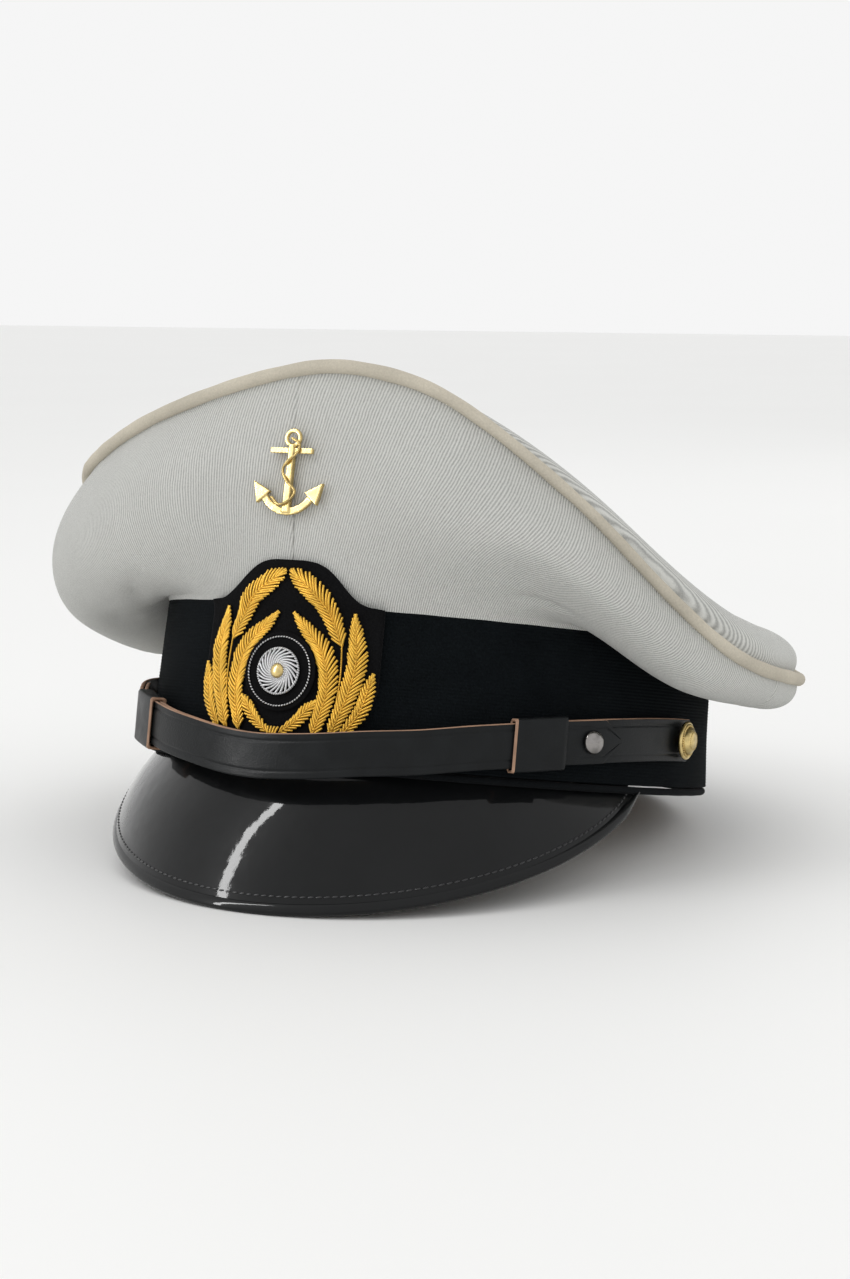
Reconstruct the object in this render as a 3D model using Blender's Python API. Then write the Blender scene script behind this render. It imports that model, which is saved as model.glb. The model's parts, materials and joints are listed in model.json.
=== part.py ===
"""A military peaked cap: white crown on a hoop, ribbed black band, patent visor, strap, badge and wreath.

The cap is modelled level, in millimetres, with the centre of its head opening at the origin, its front
towards -Y and the wearer's left towards +X. An empty then pitches it up at the front, as it rests on a
table on its visor's lip and the back of its band, and stands it on z = 0.
Angles run round the head from the front (0) to the wearer's left (+90 degrees).
"""

import math

import bmesh
import bpy
import numpy as np
from mathutils import Matrix, Vector

MM = 0.001
PITCH = math.radians(10.9)
SEGMENTS = 48
CLEARANCE = 0.3

# Band: outer half-widths at its lower edge, its height, and how much it narrows towards the top.
HEAD_X = 89.0
HEAD_Y = 106.0
BAND_HEIGHT = 47.0
BAND_TAPER = 2.4

# Layers of the band's wall, as distances from its outer face (outer, inner, low z, high z).
BAND_CLOTH = (0.0, -1.2, 0.0, BAND_HEIGHT)
BAND_FIBRE = (-1.5, -2.5, 1.0, 46.0)
SWEAT_LEATHER = (-5.1, -6.3, 1.5, 38.0)
WELT_RADIUS = 1.15
WELT_CENTRE = (-1.3, -1.55)

# Crown: plan of its edge, and the height of the hoop round it as (angle in degrees, height).
CROWN_X = 123.5
CROWN_FRONT = 100.0
CROWN_REAR = 125.0
CROWN_CENTRE = (-4.5, -3.0)
HOOP_HEIGHTS = (
    (-180, 60.0), (-120, 62.0), (-90, 71.0), (-65, 85.0), (-45, 92.5), (-25, 103.5), (0, 116.5), (10, 117.0),
    (22, 110.0), (40, 86.0), (60, 56.0), (75, 42.0), (95, 38.0), (120, 40.0), (150, 52.0),
)
CLOTH = 1.2
PIPING_RADIUS = 2.15
HOOP_RADIUS = 1.5
HOOP_CENTRE = (-6.4, -6.2)
TOP_DOME = 6.0
TOP_ROUND = 0.10

# Visor: the lip is half an ellipse in plan that drops towards the front.
LIP_X = 87.2
LIP_BACK = -27.0
LIP_FRONT = -119.0
LIP_DROP = 45.3
VISOR_THICKNESS = 1.4
BINDING_WIDTH = 4.2
BINDING_THICKNESS = 3.0

# Chin strap.
STRAP_WIDTH = 13.5
STRAP_LEATHER = 1.3
BUTTON_ANGLE = 85.0
BUTTON_HEIGHT = 15.2
BUTTON_RADIUS = 6.1
SHANK_RADIUS = 1.2
RIVET_RADIUS = 3.6
STRAP_RIVETS = {"left": 59.0, "right": -55.0}
STRAP_KEEPERS = {"left": (44.0, 53.5), "right": (-31.0, -40.5)}
STRAP_POINTS = {"left": 65.5, "right": -61.5}

# Wreath, rosette and badge on the front.
PATCH_THICKNESS = 1.5
WREATH_CENTRE_Z = 31.0
WREATH_THICKNESS = 2.2
ROSETTE_Z = 25.6
BADGE_Z = 84.5

WHITE = ((0.74, 0.74, 0.72), 0.9, 0.0)
CREAM = ((0.60, 0.57, 0.50), 0.85, 0.0)
BLACK_CLOTH = ((0.012, 0.014, 0.015), 0.95, 0.0)
PATENT = ((0.012, 0.012, 0.013), 0.12, 0.0)
BLACK_LEATHER = ((0.016, 0.016, 0.017), 0.4, 0.0)
TAN_LEATHER = ((0.42, 0.26, 0.14), 0.6, 0.0)
GILT = ((0.83, 0.60, 0.22), 0.3, 1.0)
SILVER = ((0.75, 0.75, 0.76), 0.35, 1.0)
STEEL = ((0.45, 0.45, 0.46), 0.4, 1.0)
FIBRE = ((0.30, 0.24, 0.17), 0.9, 0.0)
SATIN = ((0.55, 0.50, 0.36), 0.5, 0.0)
CLEAR = ((0.75, 0.72, 0.60), 0.15, 0.0)


# ---------------------------------------------------------------- mesh helpers


def make_material(name, look):
    colour, roughness, metallic = look
    material = bpy.data.materials.new(name)
    material.use_nodes = True
    shader = material.node_tree.nodes["Principled BSDF"]
    shader.inputs["Base Color"].default_value = (*colour, 1.0)
    shader.inputs["Roughness"].default_value = roughness
    shader.inputs["Metallic"].default_value = metallic
    return material


def add_object(name, points, faces, look, parent):
    """A closed mesh from points in millimetres, with its faces turned outwards."""
    mesh = bpy.data.meshes.new(name)
    mesh.from_pydata([tuple(MM * c for c in p) for p in points], [], faces)
    work = bmesh.new()
    work.from_mesh(mesh)
    bmesh.ops.recalc_face_normals(work, faces=work.faces)
    work.to_mesh(mesh)
    work.free()
    mesh.shade_smooth()
    mesh.set_sharp_from_angle(angle=math.radians(35))
    obj = bpy.data.objects.new(name, mesh)
    bpy.context.scene.collection.objects.link(obj)
    mesh.materials.append(make_material(name, look))
    obj.parent = parent
    return obj


def sheet_solid(name, outer, inner, look, parent, wrap=False):
    """A closed solid between two grids of points, each (rows, columns, 3). wrap joins the last row to the first."""
    rows, columns = outer.shape[:2]
    points = list(outer.reshape(-1, 3)) + list(inner.reshape(-1, 3))
    shift = rows * columns

    def at(i, j, side):
        return (i % rows) * columns + j + side * shift

    faces = []
    last = rows if wrap else rows - 1
    for i in range(last):
        for j in range(columns - 1):
            faces.append((at(i, j, 0), at(i, j + 1, 0), at(i + 1, j + 1, 0), at(i + 1, j, 0)))
            faces.append((at(i, j, 1), at(i + 1, j, 1), at(i + 1, j + 1, 1), at(i, j + 1, 1)))
        for j in (0, columns - 1):
            faces.append((at(i, j, 0), at(i + 1, j, 0), at(i + 1, j, 1), at(i, j, 1)))
    if not wrap:
        for i in (0, rows - 1):
            for j in range(columns - 1):
                faces.append((at(i, j, 0), at(i, j + 1, 0), at(i, j + 1, 1), at(i, j, 1)))
    return add_object(name, points, faces, look, parent)


def dome_solid(name, outer, inner, look, parent):
    """A closed cap from two grids (rows round, columns from the edge to the pole), whose last column is one point."""
    rows, columns = outer.shape[:2]
    points, index = [], {}
    for side, grid in enumerate((outer, inner)):
        for i in range(rows):
            for j in range(columns - 1):
                index[i, j, side] = len(points)
                points.append(grid[i, j])
        pole = len(points)
        points.append(grid[0, -1])
        for i in range(rows):
            index[i, columns - 1, side] = pole
    faces = []
    for i in range(rows):
        k = (i + 1) % rows
        for side in (0, 1):
            for j in range(columns - 2):
                faces.append((index[i, j, side], index[k, j, side], index[k, j + 1, side], index[i, j + 1, side]))
            faces.append((index[i, columns - 2, side], index[k, columns - 2, side], index[i, columns - 1, side]))
        faces.append((index[i, 0, 0], index[k, 0, 0], index[k, 0, 1], index[i, 0, 1]))
    return add_object(name, points, faces, look, parent)


def tube(name, path, section, look, parent, closed=True):
    """Sweeps a section, as (outward, up) offsets, along a path of (point, outward, up) frames."""
    rings = np.array([[p + u * out + v * up for u, v in section] for p, out, up in path])
    count, sides = rings.shape[:2]
    points = rings.reshape(-1, 3)
    faces = []
    for i in range(count if closed else count - 1):
        k = (i + 1) % count
        for j in range(sides):
            m = (j + 1) % sides
            faces.append((i * sides + j, i * sides + m, k * sides + m, k * sides + j))
    if not closed:
        faces.append(tuple(range(sides)))
        faces.append(tuple((count - 1) * sides + j for j in range(sides)))
    return add_object(name, points, faces, look, parent)


def circle(radius, sides, centre=(0.0, 0.0)):
    """A polygon with a flat side at the bottom."""
    turns = [2 * math.pi * (k + 0.5) / sides for k in range(sides)]
    return [(centre[0] + radius * math.cos(t), centre[1] + radius * math.sin(t)) for t in turns]


def turned(name, profile, place, look, parent, sides=24):
    """Turns a closed profile of (radius, height) about the local Z of place. A radius of 0 makes a pole."""
    points, index = [], {}
    for j, (radius, height) in enumerate(profile):
        for k in range(sides):
            if radius == 0 and k:
                index[k, j] = index[0, j]
                continue
            turn = 2 * math.pi * k / sides
            index[k, j] = len(points)
            points.append(place @ Vector((radius * math.cos(turn), radius * math.sin(turn), height)))
    faces = []
    for k in range(sides):
        m = (k + 1) % sides
        for j in range(len(profile)):
            n = (j + 1) % len(profile)
            corners = [index[k, j], index[m, j], index[m, n], index[k, n]]
            face = [c for position, c in enumerate(corners) if c not in corners[:position]]
            if len(face) > 2:
                faces.append(face)
    return add_object(name, points, faces, look, parent)


def cut(obj, cutter, operation="DIFFERENCE"):
    modifier = obj.modifiers.new(cutter.name, "BOOLEAN")
    modifier.operation = operation
    modifier.object = cutter
    cutter.hide_render = True
    cutter.display_type = "WIRE"


def smooth_step(value):
    value = np.clip(value, 0.0, 1.0)
    return value * value * (3 - 2 * value)


# ---------------------------------------------------------------- head oval and crown surfaces


def head_oval(angle, offset, z):
    """A point beside the band: angle round the head, distance from the band's outer face, height."""
    narrowing = BAND_TAPER * z / BAND_HEIGHT
    return np.array([
        (HEAD_X + offset - narrowing) * math.sin(angle),
        -(HEAD_Y + offset - narrowing) * math.cos(angle),
        z,
    ])


def outward(angle):
    return np.array([math.sin(angle), -math.cos(angle), 0.0])


def ring_angles():
    return [2 * math.pi * k / SEGMENTS for k in range(SEGMENTS)]


def hoop_height(angle):
    """The hoop's height at an angle, smooth through HOOP_HEIGHTS."""
    degrees = (math.degrees(angle) + 180) % 360 - 180
    knots = [(a, h) for a, h in HOOP_HEIGHTS]
    knots = [(a - 360, h) for a, h in knots[-2:]] + knots + [(a + 360, h) for a, h in knots[:3]]
    i = max(k for k in range(len(knots)) if knots[k][0] <= degrees)
    (a0, h0), (a1, h1), (a2, h2), (a3, h3) = knots[i - 1:i + 3]
    t = (degrees - a1) / (a2 - a1)
    slope1 = (h2 - h0) / (a2 - a0) * (a2 - a1)
    slope2 = (h3 - h1) / (a3 - a1) * (a2 - a1)
    return (
        (2 * t**3 - 3 * t**2 + 1) * h1 + (t**3 - 2 * t**2 + t) * slope1
        + (3 * t**2 - 2 * t**3) * h2 + (t**3 - t**2) * slope2
    )


def crown_plan(angle, share=1.0):
    reach = CROWN_FRONT if math.cos(angle) > 0 else CROWN_REAR
    return np.array([
        CROWN_CENTRE[0] + CROWN_X * share * math.sin(angle),
        CROWN_CENTRE[1] - reach * share * math.cos(angle),
        0.0,
    ])


def crown_edge(angle):
    """The centre of the piping."""
    return crown_plan(angle) + np.array([0, 0, hoop_height(angle)])


def crown_side(angle, t):
    """The crown's outer face between the band (t = 0) and the piping (t = 1): upright in front, and a belly
    at the sides that hangs past the band's top, lowest on the wearer's right."""
    up = np.array([0, 0, 1.0])
    out = outward(angle)
    low = head_oval(angle, 0.5, BAND_HEIGHT) + CLEARANCE * up
    high = crown_edge(angle) - 0.3 * out - (PIPING_RADIUS + 0.5) * up
    rise = hoop_height(angle) - BAND_HEIGHT
    degrees = (math.degrees(angle) + 180) % 360 - 180
    side = float(smooth_step(abs(degrees) / 70))
    hang = float(smooth_step((degrees - 35) / 38)) if degrees > 0 else side
    droop = math.exp(-(((degrees + 92) / 32) ** 2))
    belly = (2 + side * (9.7 + 0.2 * rise)) * out + (25 + hang * (-50.5 + 0.085 * rise) - 10 * droop) * up
    shoulder = (3 + side * (1.8 + 0.55 * rise)) * out + (-20 + side * (5.4 - 0.51 * rise) - 8 * droop) * up
    a, b, c, d = low, low + belly, high + shoulder, high
    return (1 - t)**3 * a + 3 * (1 - t)**2 * t * b + 3 * (1 - t) * t**2 * c + t**3 * d


def hoop_waves():
    """The Fourier terms of the hoop's height, for the taut surface that spans it."""
    turns = [2 * math.pi * k / 180 for k in range(180)]
    heights = np.array([hoop_height(a) for a in turns])
    waves = [
        (2 * np.mean(heights * np.cos(k * np.array(turns))), 2 * np.mean(heights * np.sin(k * np.array(turns))))
        for k in range(1, 9)
    ]
    return float(heights.mean()), waves


HOOP_MEAN, HOOP_WAVES = hoop_waves()


def top_height(angle, share):
    """The top panel over its edge's plan: share runs from 0 at the centre to 1 at the piping."""
    height = HOOP_MEAN + sum(
        share**k * (a * math.cos(k * angle) + b * math.sin(k * angle)) for k, (a, b) in enumerate(HOOP_WAVES, 1)
    )
    degrees = abs((math.degrees(angle) + 30 + 180) % 360 - 180)
    slack = 2.0 + 9.5 * float(smooth_step((degrees - 38) / 45))
    edge = max(0.0, (share - (1 - TOP_ROUND)) / TOP_ROUND)
    puff = (8.0 + (slack - 8.0) * share**2) * math.sqrt(max(0.0, 1 - edge**2))
    return height + puff + TOP_DOME * (1 - share**2)


def top_surface(angle, share):
    inset = (PIPING_RADIUS + 0.6) / CROWN_X
    point = crown_plan(angle, share * (1 - inset))
    point[2] = top_height(angle, share) + 0.3
    return point


def layer(surface, firsts, seconds, depth, step=1e-3):
    """A grid on a surface, sunk by depth along its normal. The normal comes from the surface's two slopes."""
    grid = np.zeros((len(firsts), len(seconds), 3))
    for i, a in enumerate(firsts):
        for j, b in enumerate(seconds):
            low, high = max(b - step, 0.0), min(b + step, 1.0)
            along = surface(a + step, b) - surface(a - step, b)
            across = surface(a, high) - surface(a, low)
            normal = np.cross(along, across)
            grid[i, j] = surface(a, b) - depth * normal / np.linalg.norm(normal)
    return grid


# ---------------------------------------------------------------- band, sweatband and welt


def band_wall(name, layers, look, parent):
    outer, inner, low, high = layers
    angles = ring_angles()
    outside = np.array([[head_oval(a, outer, low), head_oval(a, outer, high)] for a in angles])
    inside = np.array([[head_oval(a, inner, low), head_oval(a, inner, high)] for a in angles])
    return sheet_solid(name, outside, inside, look, parent, wrap=True)


def make_band(cap):
    cloth = band_wall("cap_band", BAND_CLOTH, BLACK_CLOTH, cap)
    fibre = band_wall("band_stiffener", BAND_FIBRE, FIBRE, cap)
    band_wall("sweatband", SWEAT_LEATHER, TAN_LEATHER, cap)
    path = [(head_oval(a, 0, 0), outward(a), np.array([0, 0, 1.0])) for a in ring_angles()]
    tube("band_welt", path, circle(WELT_RADIUS, 8, WELT_CENTRE), BLACK_CLOTH, cap)
    return cloth, fibre


def make_sweatband_bow(cap):
    """A flat ribbon bow at the back of the sweatband: two loops that meet at a knot."""
    outline = [(-9, 3.2), (-9, -3.2), (-1.2, -1.0), (1.2, -1.0), (9, -3.2), (9, 3.2), (1.2, 1.0), (-1.2, 1.0)]
    face_y = HEAD_Y + SWEAT_LEATHER[1] - BAND_TAPER / 2
    bow_z = 22.0
    back = [(x, face_y - 1.6, bow_z + z) for x, z in outline]
    front = [(x, face_y - 2.6, bow_z + z) for x, z in outline]
    count = len(outline)
    faces = [(0, 1, 2, 7), (7, 2, 3, 6), (6, 3, 4, 5)]
    faces += [tuple(c + count for c in face) for face in faces]
    faces += [(k, (k + 1) % count, (k + 1) % count + count, k + count) for k in range(count)]
    add_object("sweatband_bow", back + front, faces, BLACK_CLOTH, cap)


# ---------------------------------------------------------------- crown


def make_crown(cap):
    heights = np.linspace(0.0, 1.0, 9)
    quarter = SEGMENTS // 4
    seam = 0.0022
    names = ("front_left", "rear_left", "rear_right", "front_right")
    panels = {}
    for k, name in enumerate(names):
        angles = [2 * math.pi * (k * quarter + i) / SEGMENTS for i in range(quarter + 1)]
        angles[0] += seam
        angles[-1] -= seam
        outer = layer(crown_side, angles, heights, 0.0)
        inner = layer(crown_side, angles, heights, CLOTH)
        panels[name] = sheet_solid(f"crown_panel_{name}", outer, inner, WHITE, cap)

    shares = 1 - np.array([0, 0.008, 0.03, 0.065, 0.13, 0.28, 0.5, 0.75, 1.0])
    angles = ring_angles()
    shell = [np.array([[top_surface(a, s) for s in shares] for a in angles])]
    shell.append(shell[0].copy())
    for i, a in enumerate(angles):
        for j, share in enumerate(shares):
            edge = max(0.0, (share - (1 - TOP_ROUND)) / TOP_ROUND)
            lean = math.asin(min(1.0, edge)) * 0.9
            shell[1][i, j] -= CLOTH * (math.sin(lean) * outward(a) + math.cos(lean) * np.array([0, 0, 1.0]))
    dome_solid("crown_top_panel", shell[0], shell[1], WHITE, cap)

    up = np.array([0, 0, 1.0])
    piping = [(crown_edge(a), outward(a), up) for a in ring_angles()]
    tube("crown_piping", piping, circle(PIPING_RADIUS, 8), CREAM, cap)
    tube("crown_hoop", piping, circle(HOOP_RADIUS, 6, HOOP_CENTRE), STEEL, cap)

    backing = [math.radians(7.5 * k) for k in range(-4, 5)]
    rows = np.linspace(0.06, 0.86, 7)
    outer = layer(crown_side, backing, rows, CLOTH + 0.8)
    inner = layer(crown_side, backing, rows, CLOTH + 1.8)
    stiffener = sheet_solid("front_stiffener", outer, inner, FIBRE, cap)
    return panels, stiffener


def lining_surface(angle, step_up):
    """The lining: a short upright skirt behind the sweatband, then a dome over the head."""
    skirt_low, skirt_high, crown_rise = 41.0, 47.0, 25.0
    if step_up < 0.12:
        return head_oval(angle, -3.3, skirt_low + (skirt_high - skirt_low) * step_up / 0.12)
    sweep = (step_up - 0.12) / 0.88 * math.pi / 2
    point = head_oval(angle, -3.3, skirt_high)
    point[:2] *= math.cos(sweep)
    point[2] += crown_rise * math.sin(sweep)
    return point


def make_lining(cap):
    steps = [0.0, 0.12] + list(np.linspace(0.12, 1.0, 6)[1:])
    angles = ring_angles()
    outer = np.array([[lining_surface(a, s) for s in steps] for a in angles])
    inner = outer.copy()
    lining = 0.6
    for i, a in enumerate(angles):
        for j, s in enumerate(steps):
            sweep = max(0.0, (s - 0.12) / 0.88 * math.pi / 2)
            inner[i, j] -= lining * (math.cos(sweep) * outward(a) + math.sin(sweep) * np.array([0, 0, 1.0]))
    dome_solid("crown_lining", outer, inner, SATIN, cap)

    steps = np.linspace(0.55, 1.0, 4)
    outer = np.array([[lining_surface(a, s) for s in steps] for a in angles])
    outer[:, :, 2] -= lining + 1.1
    inner = outer.copy()
    inner[:, :, 2] -= 0.5
    dome_solid("sweat_shield", outer, inner, CLEAR, cap)


# ---------------------------------------------------------------- visor


def visor_lip(turn):
    """The outer edge of the visor, turn from -90 to 90 degrees."""
    reach = max(0.0, math.cos(turn))
    return np.array([
        LIP_X * math.sin(turn),
        LIP_BACK + (LIP_FRONT - LIP_BACK) * reach,
        -LIP_DROP * reach**0.76,
    ])


def visor_root(turn):
    """The line under the band where the visor leaves it, and the width of the band's own allowance there."""
    return head_oval(turn * 0.832, -3.5, -1.2)


def visor_surface(turn, share):
    """The visor's upper face from the root (0) to the lip (1), slightly crowned."""
    root, lip = visor_root(turn), visor_lip(turn)
    point = root + (lip - root) * share
    crown = 3.2 * math.sin(math.pi * share) * max(0.0, math.cos(turn))
    return point + crown * (outward(turn) * 0.85 + np.array([0, 0, 0.5]))


def make_visor(cap):
    half_sweep = math.radians(81)
    turns = np.linspace(-half_sweep, half_sweep, 25)

    def visor_layer(depth, low, high):
        """Rows from root to lip. The last row stops short of the lip by the width of the binding."""
        grid = np.zeros((len(turns), 6, 3))
        for i, turn in enumerate(turns):
            root, lip = visor_root(turn), visor_lip(turn)
            span = float(np.linalg.norm(lip - root))
            stop = 1 - high / span
            for j, share in enumerate(np.linspace(low, stop, 6)):
                step = 1e-3
                along = visor_surface(turn + step, share) - visor_surface(turn - step, share)
                across = visor_surface(turn, share + step) - visor_surface(turn, share - step)
                normal = np.cross(along, across)
                grid[i, j] = visor_surface(turn, share) + depth * normal / np.linalg.norm(normal)
        return grid

    trim = BINDING_WIDTH - 1.0
    outer, inner = visor_layer(0.0, 0.0, trim), visor_layer(VISOR_THICKNESS, 0.0, trim)
    flange_top = 6.0
    outer_flange = np.array([[head_oval(t * 0.832, -2.9, flange_top)] for t in turns])
    inner_flange = np.array([[head_oval(t * 0.832, -4.2, flange_top)] for t in turns])
    outer = np.concatenate([outer_flange, outer], axis=1)
    inner = np.concatenate([inner_flange, inner], axis=1)
    sheet_solid("visor_shell", outer, inner, PATENT, cap)

    lining_gap, lining_end = VISOR_THICKNESS + CLEARANCE, VISOR_THICKNESS + CLEARANCE + 0.7
    outer, inner = visor_layer(lining_gap, 0.10, trim), visor_layer(lining_end, 0.10, trim)
    sheet_solid("visor_lining", outer, inner, BLACK_CLOTH, cap)

    path = []
    for turn in np.linspace(-math.radians(85), math.radians(85), 37):
        lip, root = visor_lip(turn), visor_root(turn)
        across = (lip - root) / np.linalg.norm(lip - root)
        along = visor_lip(turn + 1e-3) - visor_lip(turn - 1e-3)
        normal = np.cross(along, across)
        path.append((lip - across * BINDING_WIDTH / 2, across, normal / np.linalg.norm(normal)))
    half_width, half_thick = BINDING_WIDTH / 2, BINDING_THICKNESS / 2
    neck = -half_width + 1.0 + CLEARANCE
    bead = [(neck, -1.1), (neck, 1.1), (half_width * 0.35, half_thick), (half_width * 0.85, half_thick * 0.6),
            (half_width, 0.0), (half_width * 0.85, -half_thick * 0.6), (half_width * 0.35, -half_thick)]
    section = [(u, v + VISOR_THICKNESS / 2) for u, v in bead]
    tube("visor_binding", path, section, PATENT, cap, closed=False)


# ---------------------------------------------------------------- chin strap


def strap_standoff(degrees):
    """How far the strap's inner face stands off the band: close at the buttons, clear of the wreath in front."""
    near = float(smooth_step((80 - abs(degrees)) / 20)) * (1 - 0.7 * float(smooth_step((-42 - degrees) / 12)))
    front = float(smooth_step(1 - abs(degrees) / 55))
    return 1.1 + 1.3 * near + 4.3 * front


def strap_height(degrees):
    return BUTTON_HEIGHT * (math.sin(math.radians(degrees))**2 + 0.002)**0.65


def strap_point(degrees, offset, v):
    angle = math.radians(degrees)
    distance = strap_standoff(degrees) + offset
    return np.array([
        (HEAD_X + distance) * math.sin(angle),
        -(HEAD_Y + distance) * math.cos(angle),
        strap_height(degrees) + v,
    ])


def strap_half(name, start, end, layer_offset, parent):
    """One strap half from its square button end to its pointed end. It lies in its own layer, and drops to
    the inner layer past the other half's point."""
    degrees = np.linspace(start, end, 57)
    outer = np.zeros((len(degrees), 2, 3))
    inner = np.zeros((len(degrees), 2, 3))
    point_length = 3.6
    for i, d in enumerate(degrees):
        taper = min(1.0, 0.12 + 0.88 * abs(end - d) / point_length)
        half = STRAP_WIDTH / 2 * taper
        drop = float(smooth_step((abs(d) - 68) / 9)) if start * d > 0 else 0.0
        offset = layer_offset * (1 - drop)
        for j, v in enumerate((-half, half)):
            inner[i, j] = strap_point(d, offset, v)
            outer[i, j] = strap_point(d, offset + STRAP_LEATHER, v)
    return sheet_solid(name, outer, inner, BLACK_LEATHER, parent)


def keeper(name, start, end, parent):
    """A leather sleeve round both strap halves."""
    wall, slack = 0.9, 0.4
    deep = 2 * STRAP_LEATHER + CLEARANCE
    rings = []
    for d in np.linspace(start, end, 5):
        ring = []
        for extra in (slack, slack + wall):
            half = STRAP_WIDTH / 2 + extra
            ring += [strap_point(d, -extra, -half), strap_point(d, deep + extra, -half),
                     strap_point(d, deep + extra, half), strap_point(d, -extra, half)]
        rings.append(ring)
    points = [p for ring in rings for p in ring]
    faces = []
    for i in range(len(rings) - 1):
        for k in range(4):
            m = (k + 1) % 4
            for side in (0, 4):
                faces.append((8 * i + k + side, 8 * i + m + side, 8 * i + 8 + m + side, 8 * i + 8 + k + side))
    for i in (0, len(rings) - 1):
        for k in range(4):
            m = (k + 1) % 4
            faces.append((8 * i + k, 8 * i + m, 8 * i + m + 4, 8 * i + k + 4))
    return add_object(name, points, faces, BLACK_LEATHER, parent)


def strap_place(degrees, offset):
    """A frame on the strap: local Z points out of it."""
    point = strap_point(degrees, offset, 0.0)
    angle = math.radians(degrees)
    out = Vector((HEAD_Y * math.sin(angle), -HEAD_X * math.cos(angle), 0.0)).normalized()
    turn = out.to_track_quat("Z", "Y").to_matrix().to_4x4()
    return Matrix.Translation(Vector(point)) @ turn


def bore(name, place, radius, low, high, parent):
    profile = [(0, low), (radius, low), (radius, high), (0, high)]
    return turned(name, profile, place, STEEL, parent, sides=12)


def rivet(name, degrees, hidden, parent):
    """A domed rivet through both halves, with a flat tail inside. A hidden one ends under the outer half."""
    deep = 2 * STRAP_LEATHER + CLEARANCE
    gap = 0.4
    profile = [
        (0, -1.1), (2.2, -1.1), (2.2, -gap), (1.0, -gap), (1.0, STRAP_LEATHER), (0, STRAP_LEATHER),
    ] if hidden else [
        (0, -1.2), (2.2, -1.2), (2.2, -gap), (1.0, -gap), (1.0, deep + gap), (RIVET_RADIUS, deep + gap),
        (RIVET_RADIUS * 0.98, deep + 1.0), (RIVET_RADIUS * 0.8, deep + 1.8), (RIVET_RADIUS * 0.45, deep + 2.35),
        (0, deep + 2.55),
    ]
    return turned(name, profile, strap_place(degrees, 0.0), STEEL, parent, sides=16)


def button_place(side):
    """The button's own frame: local Z points out along the cap's X, from the band's face."""
    point = head_oval(math.radians(BUTTON_ANGLE), 0.0, BUTTON_HEIGHT)
    turn = Matrix.Rotation(math.radians(90), 4, "Y")
    place = Matrix.Translation(Vector(point)) @ turn
    if side == "right":
        mirrored = Vector((-point[0], point[1], point[2]))
        place = Matrix.Translation(mirrored) @ Matrix.Rotation(math.radians(-90), 4, "Y")
    return place


def make_buttons(cap, band_layers, halves):
    seat = 4.3
    profile = [
        (0, -4.5), (SHANK_RADIUS, -4.5), (SHANK_RADIUS, seat), (5.2, seat), (BUTTON_RADIUS, seat + 0.5),
        (BUTTON_RADIUS, seat + 1.1), (5.4, seat + 1.6), (4.9, seat + 1.5), (4.2, seat + 2.3), (2.6, seat + 3.2),
        (0, seat + 3.6),
    ]
    washer = [(1.6, -4.0), (3.4, -4.0), (3.4, -3.5), (1.6, -3.5)]
    for side, half in (("left", halves["inner"]), ("right", halves["outer"])):
        place = button_place(side)
        turned(f"side_button_{side}", profile, place, GILT, cap)
        turned(f"button_washer_{side}", washer, place, STEEL, cap, sides=16)
        hole = bore(f"cutter_button_{side}", place, SHANK_RADIUS + 0.35, -12.0, 12.0, cap)
        for obj in (*band_layers, half):
            cut(obj, hole)


def make_strap(cap, swing):
    """Both halves, their keepers and rivets hang on the empty at the buttons' axis."""
    upper = STRAP_LEATHER + CLEARANCE
    halves = {
        "inner": strap_half("chin_strap_inner", 88.0, STRAP_POINTS["right"], 0.0, swing),
        "outer": strap_half("chin_strap_outer", -88.0, STRAP_POINTS["left"], upper, swing),
    }
    for side, (start, end) in STRAP_KEEPERS.items():
        keeper(f"strap_keeper_{side}", start, end, swing)
        rivet(f"strap_rivet_{side}", STRAP_RIVETS[side], side == "right", swing)
        place = strap_place(STRAP_RIVETS[side], 0.0)
        hole = bore(f"cutter_rivet_{side}", place, 1.3, -3.0, 8.0, swing)
        for name, half in halves.items():
            if side == "left" or name == "inner":
                cut(half, hole)
    return halves


# ---------------------------------------------------------------- patch, wreath, rosette and badge


def front_point(x, z, offset):
    return head_oval(math.asin(x / HEAD_X), offset, z)


def patch_back(z):
    """The patch lies on the band, and above it on the crown's front, which starts a little further out."""
    return CLEARANCE + 1.9 * float(smooth_step((z - 42) / 7))


def patch_half_width(z):
    arch_base, arch_rise = 46.0, 13.0
    if z > arch_base + 0.4:
        return 18.4 * math.log(arch_rise / (z - arch_base))**(1 / 3.9)
    return 17.0 + 12.5 * math.sin(math.pi / 2 * min(1.0, (z - 2.0) / 22))


def make_patch(cap):
    rows = [3.0, 8.0, 14.0, 22.0, 32.0, 42.0, 46.6, 48.0, 50.0, 53.0, 55.5, 57.5, 58.6, 58.95]
    spread = np.linspace(-1, 1, 13)
    back = np.array([[front_point(patch_half_width(z) * s, z, patch_back(z)) for s in spread] for z in rows])
    front = np.array([
        [front_point(patch_half_width(z) * s, z, patch_back(z) + PATCH_THICKNESS) for s in spread] for z in rows
    ])
    sheet_solid("wreath_patch", front, back, BLACK_CLOTH, cap)


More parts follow.
